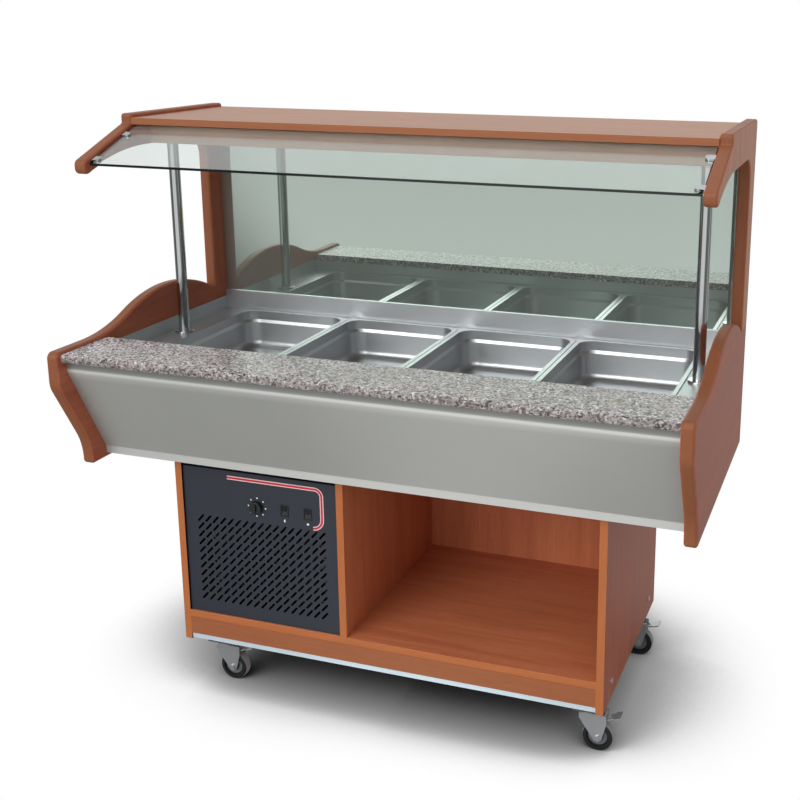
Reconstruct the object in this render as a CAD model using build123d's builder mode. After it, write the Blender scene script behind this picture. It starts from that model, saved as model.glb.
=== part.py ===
from build123d import *

import os
from math import asin, atan2, cos, degrees, radians, sin, sqrt, tan

# A refrigerated buffet counter on castors. Four gastronorm pans hang in a cooled well behind a
# granite shelf, under a hood with a mirror and a sloping glass. The wooden cabinet below holds
# an open bay and a machine bay. Millimetres, +Z up, the front looks along -Y, and the origin is
# on the floor under the middle of the counter.

# Sizes

# Food pans, the full gastronorm size
pan_count = 4
pan_width = 325.0
pan_length = 530.0
pan_height = 100.0
pan_sheet = 1.0
pan_gap = 1.5
pan_rim_width = 9.5
pan_rim_height = 3.0
pan_rim_corner = 30.0
pan_body_corner = 40.0
pan_neck_height = 24.0
pan_shoulder_height = 8.0
pan_shoulder_step = 4.0
pan_draft = 6.0
pan_foot_round = 20.0

# Well that carries the pans
pan_rear_gap = 37.0
pan_front_gap = 9.0
well_side_flange = 67.0
well_ledge = 8.0
tub_sheet = 1.2
tub_depth = 171.0
pan_bar_width = 8.0
pan_bar_depth = 12.0
side_upturn = 36.0
rear_upstand_reach = 32.0
rear_upstand_rise = 54.0
casing_height = 229.8
casing_sheet = 1.0
casing_rear_inset = 3.0
casing_front_gap = 33.5

# Granite shelf and the fascia under it
shelf_depth = 170.0
shelf_thickness = 20.0
shelf_rise = 32.0
shelf_nose_round = 8.0
shelf_bed = 64.0
fascia_sheet = 1.5
fascia_setback = 18.0
fascia_brow = 23.0
fascia_fold_round = 24.0
fascia_lip_round = 4.0
fascia_top_return = 38.0
fascia_lip_top = 15.0
fascia_lip_drop = 3.0

# Curved end panels
panel_thickness = 30.0
panel_nose_proud = 14.0
panel_edge_round = 7.0
panel_foot_drop = 15.0
panel_foot_setback = 96.0
panel_shelf_proud = 7.0
panel_flat_length = 120.0
panel_crest_reach = 300.0
panel_crest_rise = 70.0
panel_crest_radius = 440.0
panel_nose_height = 85.0
panel_knee_rise = 50.0
panel_nose_round = 16.0
panel_brow_round = 50.0
panel_knee_round = 150.0
panel_foot_round = 9.0

# Hood
hood_height = 579.0
post_depth = 85.0
hood_ridge_reach = 418.0
hood_ridge_drop = 23.0
hood_tip_reach = 607.0
hood_tip_drop = 97.0
hood_tip_depth = 37.7
hood_arch_drop = 84.0
hood_arch_start = 360.0
hood_arch_corner = 57.0
hood_corner_round = 8.0
hood_tip_round = 14.0
hood_ridge_round = 5.0
hood_edge_round = 6.0
board_thickness = 16.0
board_inset = 10.0
valance_reach = 340.0
valance_drop = 56.0
backing_thickness = 18.0
mirror_thickness = 5.0
lamp_reach = 200.0
lamp_length = 1210.0
lamp_diameter = 26.0
lamp_drop = 39.0
batten_width = 60.0
batten_height = 18.0
lamp_holder_length = 14.0

# Sloping glass and its clamps
glass_thickness = 6.0
glass_length = 205.5
glass_drop = 10.0
glass_top_overlap = 17.0
glass_side_gap = 4.0
glass_corner_cut = 12.0
clamp_diameter = 19.0
clamp_jaw = 4.0
clamp_reach = 13.0
clamp_places = (57.5, 186.5)

# Chrome tubes between the well and the top board
tube_diameter = 28.0
tube_wall = 1.5
tube_side_inset = 38.0
tube_reach = 303.0
rosette_diameter = 50.0
rosette_height = 6.0

# Cabinet
cabinet_width = 1088.0
cabinet_setback = 23.5
cabinet_rear_inset = 10.0
board = 18.0
plinth_height = 45.0
side_skirt = 17.0
divider_shift = 100.8
back_thickness = 8.0
back_recess = 17.0
bearer_width = 78.0
trim_height = 14.0
trim_recess = 3.0
trim_sheet = 1.5
trim_return = 15.0
vent_slot_length = 160.0
vent_slot_height = 8.0
vent_slot_pitch = 24.0
vent_slot_count = 10
vent_rise = 230.0

# Screws that hold the sides to the bearers
floor_edge_round = 1.5
screw_cap_diameter = 14.0
screw_cap_height = 3.0
screw_shank = 6.0
screw_hole_clearance = 0.1
screw_rear_reach = 89.0
screw_front_inset = 78.0
screw_rise = 28.0

# Castors and the rails that carry them
wheel_diameter = 75.0
wheel_width = 25.0
wheel_edge_round = 5.0
wheel_recess_outer = 27.0
wheel_recess_inner = 12.0
wheel_recess_depth = 4.0
castor_height = 114.0
castor_side_inset = 56.0
castor_front_inset = 96.0
castor_rear_reach = 32.0
castor_trail = 24.5
castor_plate = 60.0
castor_plate_thickness = 2.5
castor_screw = 6.0
castor_screw_pitch = 44.0
race_diameter = 38.0
race_height = 8.0
race_gap = 0.3
crown_height = 97.0
crown_thickness = 3.0
crown_length = 50.0
fork_sheet = 2.5
fork_wheel_gap = 2.0
fork_leg_back = 20.0
fork_leg_front = 46.0
fork_boss = 11.0
axle_diameter = 8.0
axle_clearance = 0.05
axle_head_diameter = 13.0
axle_head_height = 4.0
kingpin_diameter = 8.0
kingpin_clearance = 0.1
kingpin_nut_diameter = 14.0
kingpin_nut_height = 4.0
pedal_reach = 38.0
pedal_height = 82.0
pedal_barrel = 8.0
pedal_pin = 5.0
pedal_pin_clearance = 0.05
pedal_gap = 0.3
pedal_arm_length = 36.0
pedal_arm_rise = 13.0
pedal_sheet = 3.0
pedal_arm_width = 24.0
pedal_tread_length = 16.0
pedal_tread_width = 32.0
rail_width = 60.0
rail_height = 53.0
rail_wall = 3.0
rail_rear_reach = 1.0
rail_front_overhang = 40.0

# Front panel of the machine bay
bay_panel_sheet = 1.5
bay_panel_recess = 6.0
bay_panel_height = 387.0
bay_panel_head = 23.0
bay_panel_return = 12.0
bay_panel_gap = 0.5
slot_length = 25.0
slot_width = 5.5
slot_angle = 48.0
slot_columns = 17
slot_rows = 11
slot_column_pitch = 20.7
slot_row_pitch = 20.95
slot_field_x = -317.0
slot_field_rise = 149.25
control_rise = 304.0

# Thermostat
knob_x = -324.0
knob_diameter = 32.0
knob_height = 15.0
knob_gap = 1.0
knob_grip_length = 22.0
knob_grip_width = 7.0
knob_grip_height = 4.0
knob_edge_round = 1.5
spindle_diameter = 6.0
spindle_length = 24.0
spindle_clearance = 0.1
spindle_hole = 12.0
thermostat_width = 40.0
thermostat_height = 44.0
thermostat_depth = 38.0

# Rocker switches
switch_xs = (-250.0, -188.0)
switch_width = 22.0
switch_height = 30.0
switch_flange = 1.5
switch_body_width = 19.0
switch_body_height = 27.0
switch_body_depth = 26.0
switch_hole_clearance = 0.2
rocker_width = 15.0
rocker_height = 21.6
rocker_side_gap = 0.4
rocker_end_gap = 1.4
rocker_pivot_depth = 8.0
rocker_face = 8.5
rocker_valley = 6.5
rocker_heel = 3.0
rocker_heel_gap = 3.0
rocker_tilt = 8.0
rocker_pin = 3.0
rocker_pin_length = 1.5
rocker_pin_clearance = 0.05

# Refrigerating unit
tray_left = -480.0
tray_right = -130.0
tray_rear_reach = 95.0
tray_front_gap = 15.0
tray_sheet = 2.0
tray_edge = 25.0
compressor_x = -390.0
compressor_reach = 190.0
compressor_diameter = 150.0
compressor_height = 153.0
compressor_top_round = 45.0
compressor_foot_round = 25.0
compressor_base_length = 170.0
compressor_base_width = 120.0
compressor_base_sheet = 3.0
compressor_foot_diameter = 24.0
compressor_foot_height = 12.0
compressor_stub = 14.0
compressor_stub_length = 25.0
condenser_left = -450.0
condenser_right = -190.0
condenser_rear_inset = 55.0
condenser_depth = 48.0
condenser_height = 223.0
condenser_foot = 8.0
condenser_end_sheet = 2.0
condenser_fin = 0.8
condenser_fin_pitch = 10.0
condenser_rows = 6
condenser_row_pitch = 30.0
condenser_first_row = 55.5
refrigerant_tube = 9.5
refrigerant_bend = 18.0
condenser_bend = 14.0
shroud_sheet = 3.0
shroud_ring_depth = 30.0
shroud_ring_wall = 2.0
fan_diameter = 188.0
fan_tip_gap = 4.0
fan_blades = 5
fan_blade_angle = 32.0
fan_blade_chord = 46.0
fan_blade_sheet = 2.0
fan_hub_diameter = 36.0
fan_hub_length = 24.0
fan_hub_gap = 3.0
fan_shaft = 8.0
fan_shaft_clearance = 0.05
fan_bracket_rod = 8.0
fan_bracket_sheet = 3.0
fan_bracket_arm = 12.0
fan_motor_diameter = 80.0
fan_motor_length = 57.0
fan_motor_round = 8.0
electric_box_left = -245.0
electric_box_right = -165.0
electric_box_rear_reach = 250.0
electric_box_length = 120.0
electric_box_height = 45.0
electric_box_round = 4.0
inlet_x = -200.0
inlet_rise = 60.0
inlet_width = 27.0
inlet_height = 20.0
inlet_depth = 26.0
inlet_flange_width = 50.0
inlet_flange_height = 24.0
inlet_flange = 3.0
inlet_recess_width = 22.0
inlet_recess_height = 14.0
inlet_recess_depth = 15.0
inlet_blade_width = 2.0
inlet_blade_height = 4.0
inlet_blade_length = 12.0
inlet_blade_pitch = 7.0

# Evaporator under the tub, and the drain
coil_left = -600.0
coil_right = 600.0
coil_tail_x = -450.0
coil_first_reach = 120.0
coil_row_pitch = 70.0
coil_rows = 6
coil_bend = 30.0
coil_tail_bend = 14.0
coil_gap = 0.3
coil_tail_drop = 43.0
coil_pocket_margin = 12.0
coil_pocket_floor = 10.0
drain_x = -370.0
drain_reach = 75.0
drain_pipe_diameter = 20.0
drain_bore = 16.0
drain_tail_diameter = 21.3
drain_tail_length = 30.0
drain_length_below_floor = 37.0
drain_flange_diameter = 44.0
drain_flange = 2.0
pipe_hole_clearance = 1.0

# Places worked out from the sizes

shelf_rear_reach = pan_rear_gap + pan_length + pan_front_gap
shelf_front_reach = shelf_rear_reach + shelf_depth
casing_front_reach = shelf_rear_reach + casing_front_gap
panel_reach = shelf_front_reach + panel_nose_proud
panel_foot_reach = panel_reach - panel_foot_setback
panel_flat_end = panel_reach - panel_flat_length
rear_y = panel_reach / 2
pan_pitch = pan_width + pan_gap
half_inner = pan_count * pan_pitch / 2 + well_side_flange
half_overall = half_inner + panel_thickness
sides = (("left", -1), ("right", 1))

rail_top = castor_height + rail_height
floor_bottom = rail_top + plinth_height
floor_top = floor_bottom + board
cabinet_top = floor_top + bay_panel_height + bay_panel_head
casing_top = cabinet_top + casing_height
flange_top = casing_top + tub_sheet
shelf_bottom = flange_top + shelf_rise
shelf_top = shelf_bottom + shelf_thickness
hood_top = flange_top + hood_height
board_top = hood_top - board_inset
board_bottom = board_top - board_thickness
half_cabinet = cabinet_width / 2
half_bay = half_cabinet - board
back_face_reach = cabinet_rear_inset + back_recess + back_thickness
side_bottom = rail_top - side_skirt
cabinet_reach = casing_front_reach - cabinet_setback
bay_panel_reach = cabinet_reach - bay_panel_recess
castor_front_reach = cabinet_reach - castor_front_inset
rail_front_reach = castor_front_reach + rail_front_overhang
screw_reaches = (screw_rear_reach, cabinet_reach - screw_front_inset)
tray_front_reach = bay_panel_reach - tray_front_gap
condenser_rear_reach = tray_front_reach - condenser_rear_inset


def from_rear(reach):
    """The y of a place that lies this far in front of the rear plane."""
    return rear_y - reach


def block(x, y, z, mode=Mode.ADD):
    """A block between two values on each axis."""
    with Locations(((x[0] + x[1]) / 2, (y[0] + y[1]) / 2, (z[0] + z[1]) / 2)):
        Box(abs(x[1] - x[0]), abs(y[1] - y[0]), abs(z[1] - z[0]), mode=mode)


def facing_front(x, reach, z):
    """A plane whose normal looks out of the front, with its own y upwards."""
    return Plane(origin=(x, from_rear(reach), z), x_dir=(1, 0, 0), z_dir=(0, -1, 0))


def folded_sheet(points, sheet):
    """The closed outline of a sheet folded along points, its thickness on their left side."""
    offsets = []
    for index, point in enumerate(points):
        before = points[max(index - 1, 0)]
        after = points[min(index + 1, len(points) - 1)]
        directions = []
        for start, end in ((before, point), (point, after)):
            if start != end:
                directions.append((Vector(*end) - Vector(*start)).normalized())
        normals = [Vector(-d.Y, d.X) for d in directions]
        miter = (normals[0] + normals[-1]).normalized()
        offsets.append(Vector(*point) + miter * (sheet / miter.dot(normals[0])))
    return [Vector(*p) for p in points] + offsets[::-1]


def keep(part, name):
    """Labels a finished piece and writes it under its name."""
    part.label = name
    export_step(part, f"parts/{name}.step")


os.makedirs("parts", exist_ok=True)

# Curved end panels

panel_top = shelf_top + panel_shelf_proud
panel_foot = cabinet_top - panel_foot_drop
crest_centre_z = panel_top + panel_crest_rise - panel_crest_radius
seat_z = crest_centre_z + sqrt(panel_crest_radius**2 - (panel_crest_reach - post_depth) ** 2)
rise_run = panel_flat_end - panel_crest_reach
hollow_radius = (rise_run**2 + panel_crest_rise**2) / (2 * panel_crest_rise) - panel_crest_radius
rise_angle = asin(rise_run / (hollow_radius + panel_crest_radius))

crest = (from_rear(panel_crest_reach), panel_top + panel_crest_rise)
rise_middle = (
    from_rear(panel_crest_reach + panel_crest_radius * sin(rise_angle)),
    crest_centre_z + panel_crest_radius * cos(rise_angle),
)
hollow_middle = (
    from_rear(panel_flat_end - hollow_radius * sin(rise_angle / 2)),
    panel_top + hollow_radius * (1 - cos(rise_angle / 2)),
)
seat_front = (from_rear(post_depth), seat_z)
seat_rear = (from_rear(0), seat_z)

for side, sign in sides:
    with BuildPart() as end_panel:
        with BuildSketch(Plane.YZ.offset(min(sign * half_inner, sign * half_overall))):
            with BuildLine():
                FilletPolyline(
                    (from_rear(panel_flat_end), panel_top),
                    (from_rear(panel_reach), panel_top),
                    (from_rear(panel_reach), panel_top - panel_nose_height),
                    (from_rear(panel_foot_reach), panel_foot + panel_knee_rise),
                    (from_rear(panel_foot_reach), panel_foot),
                    (from_rear(0), panel_foot),
                    seat_rear,
                    radius=(
                        panel_nose_round,
                        panel_brow_round,
                        panel_knee_round,
                        panel_foot_round,
                        panel_foot_round,
                    ),
                )
                Line(seat_rear, seat_front)
                ThreePointArc(seat_front, crest, rise_middle)
                ThreePointArc(rise_middle, hollow_middle, (from_rear(panel_flat_end), panel_top))
            make_face()
        extrude(amount=panel_thickness)
        rounded = end_panel.edges().filter_by(
            lambda edge: abs(edge.center().Z - seat_z) > 1 and abs(edge.tangent_at(0.5).X) < 0.5
        )
        fillet(rounded, panel_edge_round)
    keep(end_panel.part, f"end_panel_{side}")

# Hood side plates with their posts

arch_z = hood_top - hood_arch_drop
ridge_z = hood_top - hood_ridge_drop
tip_z = hood_top - hood_tip_drop
tip_low = (from_rear(hood_tip_reach), tip_z - hood_tip_depth)
arch_run = hood_tip_reach - hood_arch_start
arch_fall = arch_z - tip_low[1]
arch_radius = (arch_run**2 + arch_fall**2) / (2 * arch_fall)
half_turn = asin(arch_run / arch_radius) / 2
arch_front = (from_rear(hood_arch_start), arch_z)
arch_middle = (
    from_rear(hood_arch_start + arch_radius * sin(half_turn)),
    arch_z - arch_radius * (1 - cos(half_turn)),
)

for side, sign in sides:
    with BuildPart() as hood_side:
        with BuildSketch(Plane.YZ.offset(min(sign * half_inner, sign * half_overall))) as outline:
            with BuildLine():
                FilletPolyline(
                    seat_front,
                    (from_rear(post_depth), arch_z),
                    arch_front,
                    radius=(hood_arch_corner,),
                )
                ThreePointArc(arch_front, arch_middle, tip_low)
                FilletPolyline(
                    tip_low,
                    (from_rear(hood_tip_reach), tip_z),
                    (from_rear(hood_ridge_reach), ridge_z),
                    (from_rear(hood_ridge_reach), hood_top),
                    (from_rear(0), hood_top),
                    seat_rear,
                    radius=(hood_tip_round, hood_ridge_round, hood_corner_round, hood_corner_round),
                )
                Line(seat_rear, seat_front)
            make_face()
            fillet(outline.vertices().sort_by_distance((*tip_low, 0))[0], hood_tip_round)
        extrude(amount=panel_thickness)
        rounded = hood_side.edges().filter_by(
            lambda edge: abs(edge.center().Z - seat_z) > 1 and abs(edge.tangent_at(0.5).X) < 0.5
        )
        fillet(rounded, hood_edge_round)
    keep(hood_side.part, f"hood_side_{side}")

# Top board, valance, mirror and its backing

with BuildPart() as top_board:
    block(
        (-half_inner, half_inner),
        (from_rear(hood_ridge_reach), from_rear(0)),
        (board_bottom, board_top),
    )
keep(top_board.part, "top_board")

with BuildPart() as lamp_valance:
    block(
        (-half_inner, half_inner),
        (from_rear(valance_reach), from_rear(valance_reach - board_thickness)),
        (board_bottom - valance_drop, board_bottom),
    )
keep(lamp_valance.part, "lamp_valance")

backing_front = casing_rear_inset + backing_thickness
mirror_front = backing_front + mirror_thickness

with BuildPart() as mirror_backing:
    block(
        (-half_inner, half_inner),
        (from_rear(backing_front), from_rear(casing_rear_inset)),
        (casing_top, board_bottom),
    )
keep(mirror_backing.part, "mirror_backing")

with BuildPart() as mirror_glass:
    block(
        (-half_inner, half_inner),
        (from_rear(mirror_front), from_rear(backing_front)),
        (casing_top, board_bottom),
    )
keep(mirror_glass.part, "mirror")

# Lamp: a batten under the top board, two holders and the tube between them

lamp_z = board_bottom - lamp_drop
half_lamp = lamp_length / 2
lamp_y = from_rear(lamp_reach)
batten_z = board_bottom - batten_height

with BuildPart() as lamp_tube:
    block(
        (-half_lamp - lamp_holder_length, half_lamp + lamp_holder_length),
        (lamp_y - batten_width / 2, lamp_y + batten_width / 2),
        (batten_z, board_bottom),
    )
    for end in (-1, 1):
        block(
            (end * half_lamp, end * (half_lamp + lamp_holder_length)),
            (lamp_y - lamp_diameter / 2, lamp_y + lamp_diameter / 2),
            (lamp_z - lamp_diameter / 2, batten_z),
        )
    with BuildSketch(Plane.YZ.offset(-half_lamp)):
        with Locations((lamp_y, lamp_z)):
            Circle(lamp_diameter / 2)
    extrude(amount=lamp_length)
keep(lamp_tube.part, "lamp_tube")

# Sloping glass

slope = atan2(hood_tip_drop - hood_ridge_drop, hood_tip_reach - hood_ridge_reach)
glass_top_z = ridge_z - glass_drop / cos(slope) + glass_top_overlap * tan(slope)
glass_top_y = from_rear(hood_ridge_reach - glass_top_overlap)
half_glass = half_inner - glass_side_gap


def on_glass(x, down, under=0.0):
    """A plane on the glass, down its slope and under its top face, with its normal downwards."""
    along = Vector(0, -cos(slope), -sin(slope))
    inward = Vector(0, sin(slope), -cos(slope))
    origin = Vector(x, glass_top_y, glass_top_z) + along * down + inward * under
    return Plane(origin=origin, x_dir=(1, 0, 0), z_dir=inward)


with BuildPart() as sneeze_glass:
    with BuildSketch(on_glass(0, 0)):
        with BuildLine():
            Polyline(
                (-half_glass, 0),
                (-half_glass, glass_length - glass_corner_cut),
                (-half_glass + glass_corner_cut, glass_length),
                (half_glass - glass_corner_cut, glass_length),
                (half_glass, glass_length - glass_corner_cut),
                (half_glass, 0),
                close=True,
            )
        make_face()
    extrude(amount=glass_thickness)
keep(sneeze_glass.part, "sneeze_glass")

# Each clamp has a jaw over and a jaw under the glass, joined by a lug on the hood's side plate.
clamp_radius = clamp_diameter / 2
clamp_x = half_inner - clamp_reach
clamp_parts = []
for side, sign in sides:
    for place in clamp_places:
        with BuildPart() as clamp:
            for under in (-clamp_jaw, glass_thickness):
                with BuildSketch(on_glass(sign * clamp_x, place, under)):
                    Circle(clamp_radius)
                    with Locations((sign * clamp_reach / 2, 0)):
                        Rectangle(clamp_reach, clamp_diameter)
                extrude(amount=clamp_jaw)
            lug_x = sign * (half_glass + half_inner) / 2
            with BuildSketch(on_glass(lug_x, place, -clamp_jaw)):
                Rectangle(glass_side_gap, clamp_diameter)
            extrude(amount=glass_thickness + 2 * clamp_jaw)
        clamp_parts.append(clamp.part)
keep(Compound(children=clamp_parts), "glass_clamps")

# Chrome tubes with their rosettes

tube_parts = []
for side, sign in sides:
    tube_place = (sign * (half_inner - tube_side_inset), from_rear(tube_reach))
    with BuildPart() as hood_tube:
        with BuildSketch(Plane.XY.offset(flange_top)):
            with Locations(tube_place):
                Circle(rosette_diameter / 2)
        extrude(amount=rosette_height)
        fillet(hood_tube.edges().group_by(Axis.Z)[-1], rosette_height / 2)
        with BuildSketch(Plane.XY.offset(flange_top)):
            with Locations(tube_place):
                Circle(tube_diameter / 2)
        extrude(amount=board_bottom - flange_top)
        with BuildSketch(Plane.XY.offset(flange_top)):
            with Locations(tube_place):
                Circle(tube_diameter / 2 - tube_wall)
        extrude(amount=board_bottom - flange_top, mode=Mode.SUBTRACT)
    tube_parts.append(hood_tube.part)
keep(Compound(children=tube_parts), "hood_tubes")

# Food pans

pan_xs = [(index - (pan_count - 1) / 2) * pan_pitch for index in range(pan_count)]
pan_y = from_rear(pan_rear_gap + pan_length / 2)
rim_z = flange_top + pan_rim_height
pan_sections = (
    (0.0, 0.0),
    (pan_neck_height, 0.0),
    (pan_neck_height + pan_shoulder_height, pan_shoulder_step),
    (pan_height, pan_shoulder_step + pan_draft),
)


def pressed_form(rim, skin):
    """The pan's pressed body below the plane of its rim, or its hollow where skin is its sheet."""
    with BuildPart() as form:
        for depth, inset in pan_sections:
            lift = skin if depth == pan_height else 0.0
            inward = pan_rim_width + inset + skin
            with BuildSketch(rim.offset(lift - depth)):
                RectangleRounded(
                    pan_width - 2 * inward,
                    pan_length - 2 * inward,
                    pan_body_corner - skin,
                )
        loft(ruled=True)
        fillet(form.edges().group_by(Axis.Z)[0], pan_foot_round - skin)
    return form.part


for index, pan_x in enumerate(pan_xs):
    pan_rim = Plane((pan_x, pan_y, rim_z))
    pan_outside = pressed_form(pan_rim, 0.0)
    pan_inside = pressed_form(pan_rim, pan_sheet)
    with BuildPart() as food_pan:
        with BuildSketch(pan_rim.offset(-pan_sheet)):
            RectangleRounded(pan_width, pan_length, pan_rim_corner)
        extrude(amount=pan_sheet)
        with BuildSketch(pan_rim.offset(-pan_rim_height)):
            RectangleRounded(pan_width, pan_length, pan_rim_corner)
            RectangleRounded(
                pan_width - 2 * pan_sheet,
                pan_length - 2 * pan_sheet,
                pan_rim_corner - pan_sheet,
                mode=Mode.SUBTRACT,
            )
        extrude(amount=pan_rim_height - pan_sheet)
        add(pan_outside)
        fillet(food_pan.edges().group_by(Axis.Z)[-1], pan_sheet * 0.8)
        add(pan_inside, mode=Mode.SUBTRACT)
    keep(food_pan.part, f"food_pan_{index + 1}")

# Well: tub, insulation and casing

half_basin = pan_count * pan_pitch / 2 - pan_gap / 2 - well_ledge
basin_rear = pan_rear_gap + well_ledge
basin_front = pan_rear_gap + pan_length - well_ledge
tub_floor_z = flange_top - tub_depth
basin_box = (
    (-half_basin - tub_sheet, half_basin + tub_sheet),
    (from_rear(basin_front + tub_sheet), from_rear(basin_rear - tub_sheet)),
    (tub_floor_z - tub_sheet, casing_top),
)
flange_rear = rear_upstand_reach - tub_sheet
upstand_top = flange_top + rear_upstand_rise
drain_place = (drain_x, from_rear(drain_reach))

with BuildPart() as well_tub:
    block(*basin_box)
    block(
        (-half_inner, half_inner),
        (from_rear(casing_front_reach), from_rear(flange_rear)),
        (casing_top, flange_top),
    )
    block(
        (-half_basin, half_basin),
        (from_rear(basin_front), from_rear(basin_rear)),
        (tub_floor_z, flange_top),
        mode=Mode.SUBTRACT,
    )
    for gap_index in range(1, pan_count):
        bar_x = (pan_xs[gap_index - 1] + pan_xs[gap_index]) / 2
        block(
            (bar_x - pan_bar_width / 2, bar_x + pan_bar_width / 2),
            (from_rear(basin_front), from_rear(basin_rear)),
            (flange_top - pan_bar_depth, flange_top),
        )
    for side, sign in sides:
        block(
            (sign * half_inner, sign * (half_inner - tub_sheet)),
            (from_rear(shelf_rear_reach), from_rear(flange_rear)),
            (casing_top, flange_top + side_upturn),
        )
    # The rear upstand is folded back at its top, to meet the mirror.
    block(
        (-half_inner, half_inner),
        (from_rear(rear_upstand_reach), from_rear(flange_rear)),
        (casing_top, upstand_top),
    )
    block(
        (-half_inner, half_inner),
        (from_rear(rear_upstand_reach), from_rear(mirror_front)),
        (upstand_top - tub_sheet, upstand_top),
    )
    # The front upstand is folded forwards at its top, as a bed for the granite.
    block(
        (-half_inner, half_inner),
        (from_rear(shelf_rear_reach + tub_sheet), from_rear(shelf_rear_reach)),
        (casing_top, shelf_bottom),
    )
    block(
        (-half_inner, half_inner),
        (from_rear(shelf_rear_reach + shelf_bed), from_rear(shelf_rear_reach)),
        (shelf_bottom - tub_sheet, shelf_bottom),
    )
    with BuildSketch(Plane.XY.offset(tub_floor_z)):
        with Locations(drain_place):
            Circle(drain_bore / 2)
    extrude(amount=-tub_sheet, mode=Mode.SUBTRACT)
keep(well_tub.part, "well_tub")

# The coil lies in a pocket of the foam, against the underside of the tub.
coil_z = tub_floor_z - tub_sheet - coil_gap - refrigerant_tube / 2
coil_reaches = [coil_first_reach + row * coil_row_pitch for row in range(coil_rows)]
coil_tail_z = coil_z - coil_tail_drop
coil_tails = ((coil_tail_x, coil_reaches[0]), (coil_tail_x, coil_reaches[-1]))
tube_hole = refrigerant_tube / 2 + pipe_hole_clearance
pocket_margin = coil_pocket_margin + refrigerant_tube / 2

with BuildPart() as well_insulation:
    block(
        (-half_inner + casing_sheet, half_inner - casing_sheet),
        (from_rear(casing_front_reach - casing_sheet), from_rear(casing_rear_inset + casing_sheet)),
        (cabinet_top + casing_sheet, casing_top),
    )
    block(*basin_box, mode=Mode.SUBTRACT)
    block(
        (coil_left - pocket_margin, coil_right + pocket_margin),
        (from_rear(coil_reaches[-1] + pocket_margin), from_rear(coil_reaches[0] - pocket_margin)),
        (coil_z - refrigerant_tube / 2 - coil_pocket_floor, tub_floor_z - tub_sheet),
        mode=Mode.SUBTRACT,
    )
    with BuildSketch(Plane.XY.offset(cabinet_top)):
        with Locations(drain_place):
            Circle(drain_tail_diameter / 2 + pipe_hole_clearance)
        with Locations(*[(x, from_rear(reach)) for x, reach in coil_tails]):
            Circle(tube_hole)
    extrude(amount=tub_floor_z - cabinet_top, mode=Mode.SUBTRACT)
    with BuildSketch(Plane.XY.offset(tub_floor_z - tub_sheet - drain_flange)):
        with Locations(drain_place):
            Circle(drain_flange_diameter / 2 + pipe_hole_clearance)
    extrude(amount=drain_flange, mode=Mode.SUBTRACT)
keep(well_insulation.part, "well_insulation")

with BuildPart() as well_casing:
    block(
        (-half_inner, half_inner),
        (from_rear(casing_front_reach), from_rear(casing_rear_inset)),
        (cabinet_top, casing_top),
    )
    block(
        (-half_inner + casing_sheet, half_inner - casing_sheet),
        (from_rear(casing_front_reach - casing_sheet), from_rear(casing_rear_inset + casing_sheet)),
        (cabinet_top + casing_sheet, casing_top),
        mode=Mode.SUBTRACT,
    )
    with BuildSketch(Plane.XY.offset(cabinet_top)):
        with Locations(drain_place):
            Circle(drain_tail_diameter / 2 + pipe_hole_clearance)
        with Locations(*[(x, from_rear(reach)) for x, reach in coil_tails]):
            Circle(tube_hole)
    extrude(amount=casing_sheet, mode=Mode.SUBTRACT)
keep(well_casing.part, "well_casing")

coil_points = [(coil_tail_x, from_rear(coil_reaches[0]), coil_tail_z)]
coil_points.append((coil_tail_x, from_rear(coil_reaches[0]), coil_z))
for row, reach in enumerate(coil_reaches):
    near_x, far_x = (coil_left, coil_right) if row % 2 == 0 else (coil_right, coil_left)
    if row > 0:
        coil_points.append((near_x, from_rear(reach), coil_z))
    if row < coil_rows - 1:
        coil_points.append((far_x, from_rear(reach), coil_z))
coil_points.append((coil_tail_x, from_rear(coil_reaches[-1]), coil_z))
coil_points.append((coil_tail_x, from_rear(coil_reaches[-1]), coil_tail_z))
coil_bends = [coil_tail_bend] + [coil_bend] * (len(coil_points) - 4) + [coil_tail_bend]

with BuildPart() as evaporator_coil:
    with BuildLine() as coil_route:
        FilletPolyline(*coil_points, radius=coil_bends)
    with BuildSketch(Plane(coil_points[0], z_dir=(0, 0, 1))):
        Circle(refrigerant_tube / 2)
    sweep(path=coil_route.wires()[0])
keep(evaporator_coil.part, "evaporator_coil")

# The pipe ends in a thicker tail that a hose or a coupling goes over.
drain_bottom = floor_bottom - drain_length_below_floor
drain_top = tub_floor_z - tub_sheet

with BuildPart() as drain_pipe:
    with BuildSketch(Plane.XY.offset(drain_bottom)):
        with Locations(drain_place):
            Circle(drain_pipe_diameter / 2)
    extrude(amount=drain_top - drain_bottom)
    with BuildSketch(Plane.XY.offset(drain_bottom)):
        with Locations(drain_place):
            Circle(drain_tail_diameter / 2)
    extrude(amount=drain_tail_length)
    with BuildSketch(Plane.XY.offset(drain_top - drain_flange)):
        with Locations(drain_place):
            Circle(drain_flange_diameter / 2)
    extrude(amount=drain_flange)
    with BuildSketch(Plane.XY.offset(drain_bottom)):
        with Locations(drain_place):
            Circle(drain_bore / 2)
    extrude(amount=drain_top - drain_bottom, mode=Mode.SUBTRACT)
keep(drain_pipe.part, "drain_pipe")

# Granite shelf and fascia

with BuildPart() as granite_shelf:
    block(
        (-half_inner, half_inner),
        (from_rear(shelf_front_reach), from_rear(shelf_rear_reach)),
        (shelf_bottom, shelf_top),
    )
    nose = granite_shelf.faces().sort_by(Axis.Y)[0].edges().filter_by(Axis.X)
    fillet(nose, shelf_nose_round)
keep(granite_shelf.part, "granite_shelf")

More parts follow.
